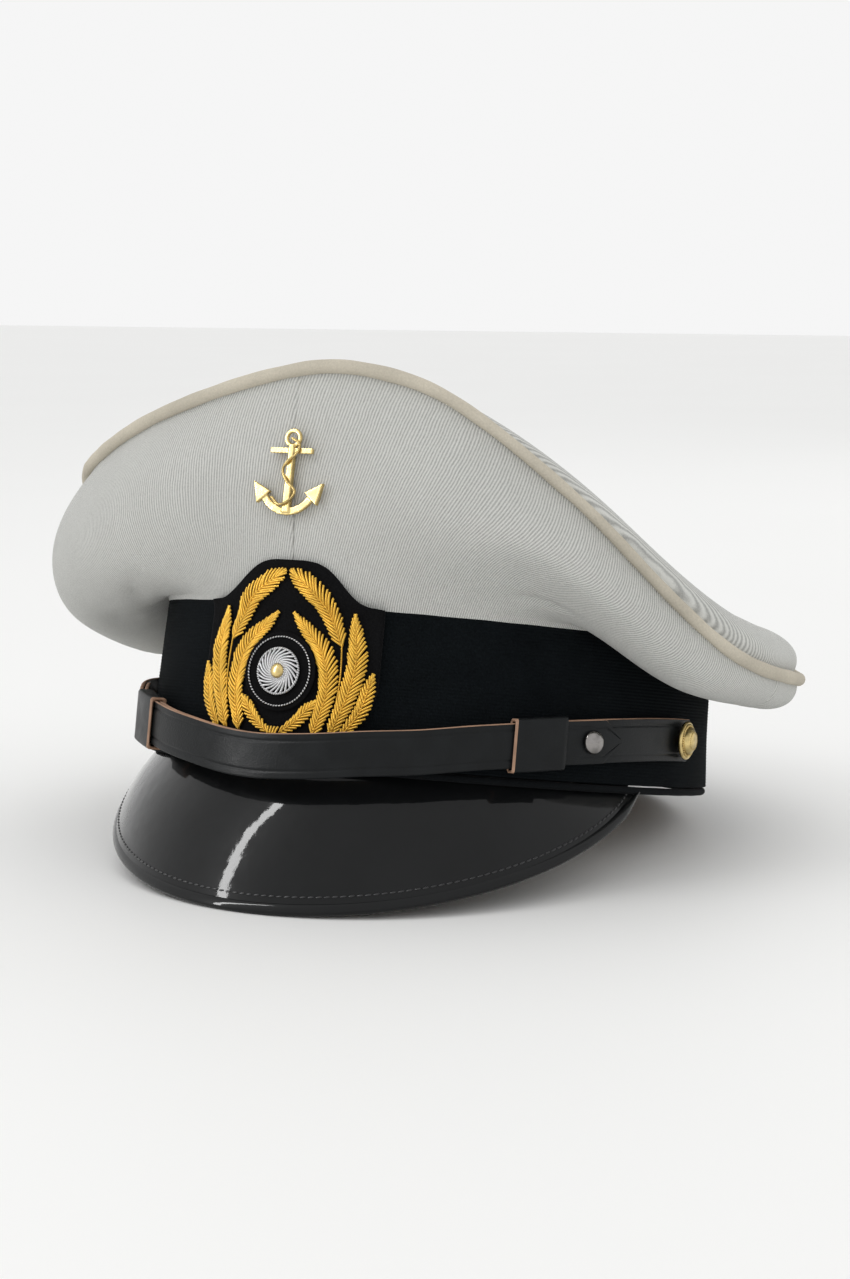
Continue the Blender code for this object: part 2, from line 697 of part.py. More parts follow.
def make_wreath(cap):
    """Two crescents that rise from the knot and close in at the top, and a shorter pair inside them."""
    for side, sign in (("left", 1), ("right", -1)):
        for name, centre_z, radius_x, radius_z, start, end, half_width in (
            ("outer", WREATH_CENTRE_Z, 22.8, 23.0, 14, 166, 4.7), ("inner", ROSETTE_Z, 13.9, 14.2, 40, 100, 1.2),
        ):
            turns = np.radians(np.linspace(start, end, 15))
            front, back = [], []
            for k, turn in enumerate(turns):
                swell = half_width * (0.45 + 0.55 * math.sin(math.pi * k / (len(turns) - 1)))
                rows = ([], [])
                for s in (-1, -0.4, 0.4, 1):
                    x = sign * (radius_x + s * swell) * math.sin(turn)
                    z = centre_z - (radius_z + s * swell) * math.cos(turn)
                    rise = WREATH_THICKNESS * (1.0 if abs(s) < 1 else 0.4)
                    base = patch_back(z) + PATCH_THICKNESS + 2 * CLEARANCE
                    rows[0].append(front_point(x, z, base + rise))
                    rows[1].append(front_point(x, z, base))
                front.append(rows[0])
                back.append(rows[1])
            sheet_solid(f"wreath_{name}_{side}", np.array(front), np.array(back), GILT, cap)
    knot_z = 6.4
    base = patch_back(knot_z) + PATCH_THICKNESS + CLEARANCE
    turned("wreath_knot", [(0, 0), (2.6, 0), (2.2, 1.2), (0, 1.8)], front_place(knot_z, base), GILT, cap, sides=12)


def front_place(z, offset):
    """A frame at the middle of the cap's front: local Z points forward, local Y up."""
    lean = math.atan(BAND_TAPER / BAND_HEIGHT)
    turn = Matrix.Rotation(math.radians(90) - lean, 4, "X")
    return Matrix.Translation(Vector(head_oval(0.0, offset, z))) @ turn


def make_rosette(cap):
    base = patch_back(ROSETTE_Z) + PATCH_THICKNESS + 2 * CLEARANCE
    place = front_place(ROSETTE_Z, base)
    turned("rosette_ground", [(0, 0), (11.9, 0), (11.9, 0.5), (0, 0.7)], place, BLACK_CLOTH, cap, sides=32)
    ring = [(10.7, 1.0), (11.1, 1.1), (11.3, 1.5), (11.1, 1.9), (10.7, 2.0), (10.3, 1.9), (10.1, 1.5), (10.3, 1.1)]
    turned("rosette_outer_ring", ring, place, SILVER, cap, sides=32)
    disc = [(2.6, 1.0), (7.6, 1.0), (7.7, 1.6), (6.9, 2.1), (5.6, 1.9), (3.6, 2.6), (2.6, 2.4)]
    turned("rosette_disc", disc, place, SILVER, cap, sides=32)
    turned("rosette_centre", [(0, 1.0), (2.3, 1.0), (2.2, 2.6), (1.4, 3.3), (0, 3.6)], place, GILT, cap, sides=20)


def badge_place():
    """On the front seam, leaning back with the crown."""
    share = 0.5
    while crown_side(0.0, share)[2] < BADGE_Z:
        share += 0.002
    here, above = crown_side(0.0, share), crown_side(0.0, share + 0.05)
    lean = math.atan2(above[1] - here[1], above[2] - here[2])
    place = Matrix.Translation(Vector(here)) @ Matrix.Rotation(math.radians(90) - lean, 4, "X")
    return place


def box_piece(name, corners, low, high, place, look, parent):
    """A flat bar from an outline of (x, y) corners, between two local heights."""
    count = len(corners)
    points = [place @ Vector((x, y, h)) for h in (low, high) for x, y in corners]
    faces = [tuple(range(count)), tuple(count + k for k in range(count))]
    faces += [(k, (k + 1) % count, (k + 1) % count + count, k + count) for k in range(count)]
    return add_object(name, points, faces, look, parent)


def make_badge(cap, panels, stiffener):
    """An anchor: shank, stock, ring and curved arms with pointed flukes, on two prongs."""
    place = badge_place()
    low, high = 1.1, 2.9
    anchor = box_piece("badge_anchor", [(-1.3, -11.8), (1.3, -11.8), (0.9, 8.6), (-0.9, 8.6)], low, high, place, GILT, cap)
    stock = [(-7.2, 6.0), (7.2, 6.0), (7.2, 7.6), (-7.2, 7.6)]
    pieces = [box_piece("cutter_stock", stock, low + 0.25, high - 0.25, place, GILT, cap)]

    arms = []
    outer_radius, inner_radius = 10.4, 8.2
    for radius, direction in ((outer_radius, 1), (inner_radius, -1)):
        for k in range(13):
            turn = math.radians(direction * (-62 + 124 * k / 12))
            arms.append((radius * math.sin(turn), -2.2 - radius * math.cos(turn)))
    pieces.append(box_piece("cutter_arms", arms, low + 0.15, high - 0.35, place, GILT, cap))
    for sign in (-1, 1):
        fluke = [(sign * x, y) for x, y in ((11.9, -2.6), (5.8, -5.6), (10.2, -9.4))]
        pieces.append(box_piece(f"cutter_fluke_{sign}", fluke, low + 0.1, high - 0.1, place, GILT, cap))
        prong = place @ Matrix.Translation(Vector((sign * 5.0, 6.8, 0)))
        pieces.append(bore(f"cutter_prong_{sign}", prong, 0.7, -4.6, 2.0, cap))
    middle = place @ Matrix.Translation(Vector((0, 10.6, (low + high) / 2)))
    ring = [(1.75, -0.55), (2.85, -0.55), (3.0, 0.0), (2.85, 0.55), (1.75, 0.55), (1.6, 0.0)]
    pieces.append(turned("cutter_ring", ring, middle, GILT, cap, sides=16))
    for piece in pieces:
        cut(anchor, piece, "UNION")

    for sign in (-1, 1):
        hole_place = place @ Matrix.Translation(Vector((sign * 5.0, 6.8, 0)))
        hole = bore(f"cutter_hole_{sign}", hole_place, 1.05, -8.0, 6.0, cap)
        cut(panels["front_left" if sign > 0 else "front_right"], hole)
        cut(stiffener, hole)
    plate = [(-8.0, 4.0), (8.0, 4.0), (8.0, 9.6), (-8.0, 9.6)]
    backing = box_piece("badge_back_plate", plate, -4.2, -3.4, place, STEEL, cap)
    for sign in (-1, 1):
        hole_place = place @ Matrix.Translation(Vector((sign * 5.0, 6.8, 0)))
        cut(backing, bore(f"cutter_plate_{sign}", hole_place, 1.05, -8.0, 6.0, cap))


# ---------------------------------------------------------------- assembly


def stand_on_ground(cap):
    """Moves the cap so that the middle of its box's underside is at the origin."""
    bpy.context.view_layer.update()
    low, high = Vector((1e9,) * 3), Vector((-1e9,) * 3)
    for obj in bpy.context.scene.objects:
        if obj.type != "MESH" or obj.hide_render:
            continue
        for vertex in obj.data.vertices:
            point = obj.matrix_world @ vertex.co
            for axis in range(3):
                low[axis] = min(low[axis], point[axis])
                high[axis] = max(high[axis], point[axis])
    cap.location = Vector((-(low.x + high.x) / 2, -(low.y + high.y) / 2, -low.z))
    bpy.context.view_layer.update()


def main():
    for obj in list(bpy.data.objects):
        bpy.data.objects.remove(obj)
    cap = bpy.data.objects.new("cap_frame", None)
    bpy.context.scene.collection.objects.link(cap)
    cap.rotation_euler = (-PITCH, 0, 0)
    swing = bpy.data.objects.new("strap_swing", None)
    bpy.context.scene.collection.objects.link(swing)
    swing.parent = cap

    band_layers = make_band(cap)
    make_sweatband_bow(cap)
    panels, stiffener = make_crown(cap)
    make_lining(cap)
    make_visor(cap)
    halves = make_strap(cap, swing)
    make_buttons(cap, band_layers, halves)
    make_patch(cap)
    make_wreath(cap)
    make_rosette(cap)
    make_badge(cap, panels, stiffener)

    # The swinging pieces keep their place while their parent empty moves to the buttons' axis.
    pivot = Vector(head_oval(math.radians(BUTTON_ANGLE), 0.0, BUTTON_HEIGHT)) * MM
    pivot.x = 0.0
    swing.location = pivot
    for piece in swing.children:
        piece.location = -pivot
    stand_on_ground(cap)


main()
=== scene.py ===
"""A military peaked cap, finished: white twill crown, ribbed black band, patent visor, leather strap,
gilt anchor, and a wreath and rosette worked in metal thread.

Every shape is worked out in millimetres in the cap's own frame, level, with the centre of the head
opening at the origin, the front towards -Y and the wearer's left towards +X. place() then sets it in
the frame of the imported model. Angles run round the head from the front (0) to the wearer's left.
"""

import json
import math

import bmesh
import bpy
import numpy as np
from mathutils import Matrix, Vector


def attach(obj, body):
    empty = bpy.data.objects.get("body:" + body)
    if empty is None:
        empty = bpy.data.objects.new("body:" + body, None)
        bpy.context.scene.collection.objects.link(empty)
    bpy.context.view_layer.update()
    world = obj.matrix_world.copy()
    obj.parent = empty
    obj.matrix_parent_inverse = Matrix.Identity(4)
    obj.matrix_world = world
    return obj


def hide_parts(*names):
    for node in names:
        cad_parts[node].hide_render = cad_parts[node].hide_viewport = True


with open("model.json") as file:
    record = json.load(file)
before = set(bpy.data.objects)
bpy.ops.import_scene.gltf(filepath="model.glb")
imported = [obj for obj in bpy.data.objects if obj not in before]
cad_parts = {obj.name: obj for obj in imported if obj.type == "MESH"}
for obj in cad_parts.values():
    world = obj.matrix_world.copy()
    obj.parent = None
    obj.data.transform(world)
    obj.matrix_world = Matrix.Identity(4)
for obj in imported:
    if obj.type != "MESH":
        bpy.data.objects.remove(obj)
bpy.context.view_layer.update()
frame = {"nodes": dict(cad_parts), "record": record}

# The cap's frame is the one that the head opening's mount gives: its axis points down out of the head.
MM = 0.001
OPENING = next(m for m in frame["record"]["mounts"] if m["name"] == "head_opening")
PITCH = math.asin(-OPENING["axis"][1])
CAP = Matrix.Translation(OPENING["pos_m"]) @ Matrix.Rotation(-PITCH, 4, "X") @ Matrix.Scale(MM, 4)
UP = np.array([0.0, 0.0, 1.0])

# Band: outer half-widths at its lower edge, its height, and how much it narrows towards the top.
HEAD_X = 89.0
HEAD_Y = 106.0
BAND_HEIGHT = 47.0
BAND_TAPER = 2.4
BAND_CLOTH = 1.2
RIB_PITCH = 1.0
RIB_DEPTH = 0.2

# Crown: plan of its edge, and the height of the hoop round it as (angle in degrees, height).
CROWN_X = 123.5
CROWN_FRONT = 100.0
CROWN_REAR = 125.0
CROWN_CENTRE = (-4.5, -3.0)
HOOP_HEIGHTS = (
    (-180, 60.0), (-120, 62.0), (-90, 71.0), (-65, 85.0), (-45, 92.5), (-25, 103.5), (0, 116.5), (10, 117.0),
    (22, 110.0), (40, 86.0), (60, 56.0), (75, 42.0), (95, 38.0), (120, 40.0), (150, 52.0),
)
CLOTH = 1.2
PIPING_RADIUS = 2.15
TOP_DOME = 6.0
TOP_ROUND = 0.10
TOP_OVERHANG = 7.5
TWILL_PITCH = 0.9

# Visor: the lip is half an ellipse in plan that drops towards the front.
LIP_X = 87.2
LIP_BACK = -27.0
LIP_FRONT = -119.0
LIP_DROP = 45.3
VISOR_THICKNESS = 1.4
BINDING_WIDTH = 4.2
BINDING_THICKNESS = 3.0
VISOR_SWEEP = 88.5
BINDING_SWEEP = 89.4
ROOT_SHARE = 0.832

# Chin strap.
STRAP_WIDTH = 13.5
STRAP_LEATHER = 1.3
STRAP_LAYER = 1.6
BUTTON_ANGLE = 85.0
BUTTON_HEIGHT = 15.2
BUTTON_RADIUS = 6.1
RIVET_RADIUS = 3.6
STRAP_RIVETS = {"left": 59.0, "right": -55.0}
STRAP_KEEPERS = {"left": (44.0, 53.5), "right": (-31.0, -40.5)}
STRAP_POINTS = {"left": 65.5, "right": -61.5}
STRAP_END = 88.0
KEEPER_WALL = 0.9
KEEPER_SLACK = 0.4
KEEPER_CORNER = 1.0

# Wreath, rosette and badge on the front.
PATCH_THICKNESS = 1.5
ROSETTE_Z = 25.6
RAYS = 24
BADGE_Z = 84.5
STRAND_RADIUS = 0.37

# One side of the wreath: each leaf's vein as (x, z) points on the patch, and the leaf's half width.
LEAVES = {
    "outer": (
        (((18.4, 34.6), (13.6, 44.4), (8.2, 50.2), (3.3, 54.0)), 3.9),
        (((17.6, 8.2), (21.3, 19.6), (23.0, 30.0), (21.8, 41.2)), 3.4),
        (((20.6, 7.8), (25.2, 15.4), (27.6, 25.0)), 2.5),
        (((2.4, 4.9), (13.0, 4.6), (25.6, 7.0)), 1.7),
    ),
    "inner": (
        (((12.4, 7.6), (15.2, 20.6), (12.9, 31.8), (4.6, 41.2)), 3.5),
        (((2.2, 7.6), (6.6, 11.0), (11.2, 16.4)), 2.3),
    ),
}
STEM = ((18.5, 34.8), (18.9, 26.0), (18.3, 16.0), (16.8, 8.0))


# ---------------------------------------------------------------- small tools


def vec(x, y, z):
    return np.stack(np.broadcast_arrays(x, y, z), axis=-1).astype(float)


def unit(vectors):
    return vectors / np.maximum(np.linalg.norm(vectors, axis=-1, keepdims=True), 1e-12)


def smooth_step(value):
    value = np.clip(value, 0.0, 1.0)
    return value * value * (3 - 2 * value)


def bell(value, width):
    return np.exp(-((value / width) ** 2))


def round_turns(count):
    """Angles spaced evenly once round."""
    return np.linspace(0, 2 * math.pi, count, endpoint=False)


def place(points):
    """Cap frame in millimetres to the model's frame in metres."""
    return np.asarray(points) @ np.array(CAP.to_3x3()).T + np.array(CAP.translation)


def spline(knots, count):
    """Points along a smooth curve through a few knots."""
    knots = np.asarray(knots, float)
    padded = np.vstack([2 * knots[0] - knots[1], knots, 2 * knots[-1] - knots[-2]])
    spans = len(knots) - 1
    at = np.linspace(0, spans, count)
    i = np.minimum(at.astype(int), spans - 1)
    t = (at - i)[:, None]
    a, b, c, d = padded[i], padded[i + 1], padded[i + 2], padded[i + 3]
    return 0.5 * (2 * b + (c - a) * t + (2 * a - 5 * b + 4 * c - d) * t**2 + (3 * b - a - 3 * c + d) * t**3)


def finish_piece(obj, body, nodes=()):
    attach(obj, body)
    if nodes:
        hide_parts(*nodes)
    return obj


def make_piece(name, points, faces, materials, marks=None, uv=None, sharp=50.0):
    """A closed mesh from points in the cap frame, with a material mark per face and a cloth place per point."""
    mesh = bpy.data.meshes.new(name)
    mesh.from_pydata(place(points).tolist(), [], np.asarray(faces).tolist())
    for material in materials:
        mesh.materials.append(material)
    if marks is not None:
        mesh.polygons.foreach_set("material_index", np.asarray(marks, np.int32))
    if uv is not None:
        layer = mesh.uv_layers.new(name="weave")
        corners = np.zeros(len(mesh.loops), np.int32)
        mesh.loops.foreach_get("vertex_index", corners)
        layer.data.foreach_set("uv", np.asarray(uv, np.float32)[corners].ravel())
    work = bmesh.new()
    work.from_mesh(mesh)
    bmesh.ops.remove_doubles(work, verts=work.verts, dist=2e-6)
    bmesh.ops.recalc_face_normals(work, faces=work.faces)
    work.to_mesh(mesh)
    work.free()
    mesh.shade_smooth()
    mesh.set_sharp_from_angle(angle=math.radians(sharp))
    obj = bpy.data.objects.new(name, mesh)
    bpy.context.scene.collection.objects.link(obj)
    return obj


def swept(name, rings, materials, closed=True, column_marks=None, uv=None, sharp=50.0):
    """A closed skin over rings of points, (rings, points on a ring, 3). closed joins the last ring to the
    first. Otherwise each end is filled with strips between the ring's two halves."""
    count, sides = rings.shape[:2]
    i = np.arange(count if closed else count - 1)[:, None]
    j = np.arange(sides)[None, :]
    k, m = (i + 1) % count, (j + 1) % sides
    faces = np.stack([i * sides + j, i * sides + m, k * sides + m, k * sides + j], -1).reshape(-1, 4)
    marks = None
    if column_marks is not None:
        marks = np.tile(np.asarray(column_marks), len(i))
    if not closed:
        strip = np.arange(sides // 2 - 1)
        ends = np.stack([strip, strip + 1, sides - 2 - strip, sides - 1 - strip], -1)
        faces = np.vstack([faces, ends, ends + (count - 1) * sides])
        if marks is not None:
            marks = np.concatenate([marks, np.full(2 * len(ends), max(column_marks))])
    flat = None if uv is None else uv.reshape(-1, 2)
    return make_piece(name, rings.reshape(-1, 3), faces, materials, marks, flat, sharp)


def turned(name, profile, frame_matrix, material, sides=56):
    """Turns a closed profile of (radius, height) about the local Z of frame_matrix."""
    profile = np.asarray(profile, float)
    turn = round_turns(sides)[:, None]
    local = vec(profile[:, 0] * np.cos(turn), profile[:, 0] * np.sin(turn), profile[:, 1])
    return swept(name, moved(local, frame_matrix), [material], sharp=35.0)


def moved(points, matrix):
    return np.asarray(points) @ np.array(matrix.to_3x3()).T + np.array(matrix.translation)


def arc(centre, radius, start, end, count=8):
    turns = np.radians(np.linspace(start, end, count))
    return [(centre[0] + radius * math.cos(t), centre[1] + radius * math.sin(t)) for t in turns]


def joined(name, pieces):
    """One object from several."""
    with bpy.context.temp_override(active_object=pieces[0], selected_editable_objects=pieces):
        bpy.ops.object.join()
    pieces[0].name = name
    return pieces[0]


# ---------------------------------------------------------------- node trees


def add_node(tree, kind, feeds=(), out=0, **settings):
    node = tree.nodes.new(kind)
    for key, value in settings.items():
        setattr(node, key, value)
    for key, value in dict(feeds).items():
        socket = node.inputs[key]
        if isinstance(value, bpy.types.NodeSocket):
            tree.links.new(value, socket)
        else:
            socket.default_value = value
    return node.outputs[out]


def new_growth(name, sizes):
    """A Geometry Nodes tree with its sizes as named inputs. Returns the tree and its inputs' sockets."""
    tree = bpy.data.node_groups.new(name, "GeometryNodeTree")
    tree.interface.new_socket("Geometry", in_out="INPUT", socket_type="NodeSocketGeometry")
    for label in sizes:
        tree.interface.new_socket(label, in_out="INPUT", socket_type="NodeSocketFloat")
    tree.interface.new_socket("Thread", in_out="INPUT", socket_type="NodeSocketMaterial")
    tree.interface.new_socket("Geometry", in_out="OUTPUT", socket_type="NodeSocketGeometry")
    return tree, tree.nodes.new("NodeGroupInput").outputs


def close_growth(tree, geometry, thread):
    geometry = add_node(tree, "GeometryNodeRealizeInstances", {0: geometry})
    geometry = add_node(tree, "GeometryNodeSetMaterial", {"Geometry": geometry, "Material": thread})
    tree.links.new(geometry, tree.nodes.new("NodeGroupOutput").inputs[0])


def facing(tree, slant=0.0):
    """The rotation at a point of a path: X along it, Z along its out attribute, turned by slant about Z."""
    tangent = add_node(tree, "GeometryNodeInputTangent")
    out = add_node(tree, "GeometryNodeInputNamedAttribute", {"Name": "out"}, data_type="FLOAT_VECTOR")
    along = add_node(tree, "FunctionNodeAlignRotationToVector", {"Vector": tangent}, axis="X")
    level = add_node(
        tree, "FunctionNodeAlignRotationToVector", {"Rotation": along, "Vector": out}, axis="Z", pivot_axis="X",
    )
    turn = add_node(tree, "ShaderNodeCombineXYZ", {"Z": slant})
    turn = add_node(tree, "FunctionNodeEulerToRotation", {0: turn})
    return add_node(tree, "FunctionNodeRotateRotation", {0: level, 1: turn}, rotation_space="LOCAL")


def path_curve(tree, geometry, spacing):
    curve = add_node(tree, "GeometryNodeMeshToCurve", {0: geometry})
    return add_node(tree, "GeometryNodeResampleCurve", {"Curve": curve, "Length": spacing}, mode="LENGTH")


def beads_tree():
    """Long beads laid along a path: stitches when they lie straight, a twisted cord when they slant."""
    tree, sizes = new_growth("beads_on_path", ("Spacing", "Length", "Width", "Height", "Slant"))
    curve = path_curve(tree, sizes["Geometry"], sizes["Spacing"])
    bead = add_node(tree, "GeometryNodeMeshUVSphere", {"Segments": 8, "Rings": 6, "Radius": 0.5})
    feeds = {0: sizes["Length"], 1: sizes["Width"], 2: sizes["Height"]}
    scale = add_node(tree, "ShaderNodeCombineXYZ", feeds)
    beads = add_node(tree, "GeometryNodeInstanceOnPoints", {
        "Points": curve, "Instance": bead, "Rotation": facing(tree, sizes["Slant"]), "Scale": scale,
    })
    beads = add_node(tree, "GeometryNodeRealizeInstances", {0: beads})
    beads = add_node(tree, "GeometryNodeSetShadeSmooth", {"Geometry": beads, "Shade Smooth": True})
    close_growth(tree, beads, sizes["Thread"])
    return tree


def leaf_tree():
    """Metal thread laid out both ways from a leaf's vein, each strand bowed up off the felt."""
    tree, sizes = new_growth("herringbone_leaf", ("Spacing", "Radius", "Slant", "Bow"))
    vein = path_curve(tree, sizes["Geometry"], sizes["Spacing"])
    reach = add_node(tree, "GeometryNodeInputNamedAttribute", {"Name": "reach"}, data_type="FLOAT")
    middle = add_node(tree, "ShaderNodeCombineXYZ", {"X": 0.5, "Z": sizes["Bow"]})
    strand = add_node(tree, "GeometryNodeCurveQuadraticBezier", {
        "Resolution": 6, "Start": (-0.04, 0, 0), "Middle": middle, "End": (1, 0, 0),
    })
    # Near the tip the strands close in along the vein.
    share = add_node(tree, "GeometryNodeSplineParameter")
    closing = add_node(tree, "ShaderNodeMath", {0: share, 1: 7.0}, operation="POWER")
    closing = add_node(tree, "ShaderNodeMath", {0: closing, 1: -0.85, 2: 1.0}, operation="MULTIPLY_ADD")
    spread = add_node(tree, "ShaderNodeMath", {0: sizes["Slant"], 1: closing}, operation="MULTIPLY")
    sides = []
    for seed, sign in ((1, 1.0), (2, -1.0)):
        slant = add_node(tree, "ShaderNodeMath", {0: spread, 1: sign}, operation="MULTIPLY")
        waver = add_node(tree, "FunctionNodeRandomValue", {"Min": -0.04, "Max": 0.04, "Seed": seed}, out=1)
        slant = add_node(tree, "ShaderNodeMath", {0: slant, 1: waver}, operation="ADD")
        limits = {"Min": 0.95, "Max": 1.05, "Seed": seed + 4}
        uneven = add_node(tree, "FunctionNodeRandomValue", limits, out=1)
        length = add_node(tree, "ShaderNodeMath", {0: reach, 1: uneven}, operation="MULTIPLY")
        sides.append(add_node(tree, "GeometryNodeInstanceOnPoints", {
            "Points": vein, "Instance": strand, "Rotation": facing(tree, slant), "Scale": length,
        }))
    both = tree.nodes.new("GeometryNodeJoinGeometry")
    for side in sides:
        tree.links.new(side, both.inputs[0])
    strands = add_node(tree, "GeometryNodeRealizeInstances", {0: both.outputs[0]})
    strands = add_node(tree, "GeometryNodeSetCurveRadius", {"Curve": strands, "Radius": 1.0})
    along = add_node(tree, "GeometryNodeSplineParameter", out=1)
    strands = add_node(
        tree, "GeometryNodeStoreNamedAttribute", {"Geometry": strands, "Name": "along", "Value": along},
        data_type="FLOAT", domain="POINT",
    )
    ring = add_node(tree, "GeometryNodeCurvePrimitiveCircle", {"Resolution": 7, "Radius": sizes["Radius"]})
    feeds = {"Curve": strands, "Profile Curve": ring, "Fill Caps": True}
    threads = add_node(tree, "GeometryNodeCurveToMesh", feeds)
    threads = add_node(tree, "GeometryNodeSetShadeSmooth", {"Geometry": threads, "Shade Smooth": True})
    close_growth(tree, threads, sizes["Thread"])
    return tree


BEADS = beads_tree()
LEAF = leaf_tree()


def grown(name, paths, tree, thread, wrap=place, **sizes):
    """Runs a tree on paths, each (points, out directions, reach or None), and sets the result in place."""
    points, edges, outs, reaches = [], [], [], []
    for path, out, reach in paths:
        start = len(points)
        points += [tuple(p) for p in path]
        edges += [(start + k, start + k + 1) for k in range(len(path) - 1)]
        outs.append(np.broadcast_to(out, (len(path), 3)))
        reaches.append(np.zeros(len(path)) if reach is None else reach)
    guide = bpy.data.meshes.new(name + "_guide")
    guide.from_pydata(points, edges, [])
    attribute = guide.attributes.new("out", "FLOAT_VECTOR", "POINT")
    attribute.data.foreach_set("vector", np.concatenate(outs).astype(np.float32).ravel())
    attribute = guide.attributes.new("reach", "FLOAT", "POINT")
    attribute.data.foreach_set("value", np.concatenate(reaches).astype(np.float32))
    maker = bpy.data.objects.new(name + "_guide", guide)
    bpy.context.scene.collection.objects.link(maker)
    modifier = maker.modifiers.new("growth", "NODES")
    modifier.node_group = tree
    values = dict(sizes, Thread=thread)
    for item in tree.interface.items_tree:
        if item.in_out == "INPUT" and item.name in values:
            modifier[item.identifier] = values[item.name]
    graph = bpy.context.evaluated_depsgraph_get()
    evaluated = maker.evaluated_get(graph)
    mesh = bpy.data.meshes.new_from_object(evaluated, preserve_all_data_layers=True, depsgraph=graph)
    bpy.data.objects.remove(maker)
    flat = np.zeros(len(mesh.vertices) * 3, np.float32)
    mesh.vertices.foreach_get("co", flat)
    mesh.vertices.foreach_set("co", wrap(flat.reshape(-1, 3).astype(float)).astype(np.float32).ravel())
    mesh.update()
    obj = bpy.data.objects.new(name, mesh)
    bpy.context.scene.collection.objects.link(obj)
    return obj


# ---------------------------------------------------------------- materials


class Finish:
    """A material on one Principled shader, with the few textures that these finishes are mixed from."""

    def __init__(self, name, colour, roughness, metallic=0.0, **sockets):
        self.material = bpy.data.materials.new(name)
        self.material.use_nodes = True
        self.tree = self.material.node_tree
        self.shader = self.tree.nodes["Principled BSDF"]
        self.shader.inputs["Base Color"].default_value = (*colour, 1.0)
        self.shader.inputs["Roughness"].default_value = roughness
        self.shader.inputs["Metallic"].default_value = metallic
        for key, value in sockets.items():
            self.shader.inputs[key.replace("_", " ")].default_value = value
        self.colour = colour
        self.normal = None

    def add(self, kind, feeds=(), out=0, **settings):
        return add_node(self.tree, kind, feeds, out, **settings)

    def math(self, operation, a, b=0.0):
        return self.add("ShaderNodeMath", {0: a, 1: b}, operation=operation)

    def coordinates(self):
        return self.add("ShaderNodeTexCoord", out=3)

    def noise(self, size, detail=3.0, stretch=(1, 1, 1)):
        """Noise whose blotches are about size millimetres across."""
        vector = self.add("ShaderNodeMapping", {"Vector": self.coordinates(), "Scale": stretch})
        scale = 1 / (size * MM)
        return self.add("ShaderNodeTexNoise", {"Vector": vector, "Scale": scale, "Detail": detail})

    def cells(self, size):
        """Rounded pebbles about size millimetres across."""
        feeds = {"Vector": self.coordinates(), "Scale": 1 / (size * MM), "Randomness": 0.9}
        return self.add("ShaderNodeTexVoronoi", feeds, feature="SMOOTH_F1")

    def ridges(self, value, pitch):
        """Rounded ridges from 0 to 1 across a distance in millimetres."""
        wave = self.math("SINE", self.math("MULTIPLY", value, 2 * math.pi / pitch))
        return self.math("MULTIPLY", self.math("ADD", wave, 1.0), 0.5)

    def shade(self, factor, low, high, start=0.0, end=1.0):
        """The base colour, from low times the colour to high times it, as factor goes from start to end."""
        spread = self.add("ShaderNodeMapRange", {0: factor, 1: start, 2: end, 3: 0.0, 4: 1.0})
        tints = [tuple(min(1.0, c * k) for c in self.colour) + (1.0,) for k in (low, high)]
        mixed = self.add("ShaderNodeMix", {0: spread, 6: tints[0], 7: tints[1]}, out=2, data_type="RGBA")
        old = self.shader.inputs["Base Color"]
        if old.is_linked:
            white = [tuple([min(k / max(low, high), 1.0)] * 3) + (1.0,) for k in (low, high)]
            tone = self.add("ShaderNodeMix", {0: spread, 6: white[0], 7: white[1]}, out=2, data_type="RGBA")
            feeds = {0: 1.0, 6: old.links[0].from_socket, 7: tone}
            mixed = self.add("ShaderNodeMix", feeds, out=2, data_type="RGBA", blend_type="MULTIPLY")
        self.tree.links.new(mixed, old)
        return self

    def rough(self, factor, low, high, start=0.3, end=0.7):
        spread = self.add("ShaderNodeMapRange", {0: factor, 1: start, 2: end, 3: low, 4: high})
        self.tree.links.new(spread, self.shader.inputs["Roughness"])
        return self

    def relief(self, height, depth):
        """Raises the surface by up to depth millimetres."""
        feeds = {"Height": height, "Distance": depth * MM, "Strength": 1.0}
        if self.normal is not None:
            feeds["Normal"] = self.normal
        self.normal = self.add("ShaderNodeBump", feeds)
        self.tree.links.new(self.normal, self.shader.inputs["Normal"])
        if "Coat Normal" in self.shader.inputs and self.shader.inputs["Coat Weight"].default_value > 0:
            self.tree.links.new(self.normal, self.shader.inputs["Coat Normal"])
        return self


def twill(name, colour, pitch, lean, depth):
    """Twill whose ridges lean by so many degrees from upright, on a UV map in millimetres."""
    cloth = Finish(name, colour, 0.92, Sheen_Weight=0.05, Sheen_Roughness=0.5)
    uv = cloth.add("ShaderNodeUVMap", uv_map="weave")
    across = cloth.add("ShaderNodeSeparateXYZ", {0: uv}, out=0)
    upward = cloth.add("ShaderNodeSeparateXYZ", {0: uv}, out=1)
    turn = math.radians(lean)
    drift = cloth.math("MULTIPLY", cloth.noise(9.0, 2.0), 1.1)
    diagonal = cloth.math("SUBTRACT", cloth.math("MULTIPLY", across, math.cos(turn)),
                          cloth.math("MULTIPLY", upward, math.sin(turn)))
    ridge = cloth.ridges(cloth.math("ADD", diagonal, drift), pitch)
    yarn = cloth.ridges(cloth.math("ADD", upward, cloth.math("MULTIPLY", across, 0.35)), pitch * 0.42)
    fuzz = cloth.noise(0.5, 3.0)
    weave = cloth.math("ADD", cloth.math("MULTIPLY", ridge, 0.7), cloth.math("MULTIPLY", yarn, 0.3))
    # Painted shade: the base colour darkens in the valleys between the weave's ridges and yarns, over a real
    # fuzz grain.
    cloth.shade(cloth.math("ADD", cloth.math("MULTIPLY", weave, 0.75), cloth.math("MULTIPLY", fuzz, 0.5)),
                0.48, 1.10, 0.2, 0.85)
    cloth.shade(cloth.noise(35.0, 4.0), 0.94, 1.0, 0.35, 0.65)
    cloth.relief(weave, depth)
    cloth.relief(fuzz, depth * 0.5)
    return cloth.material


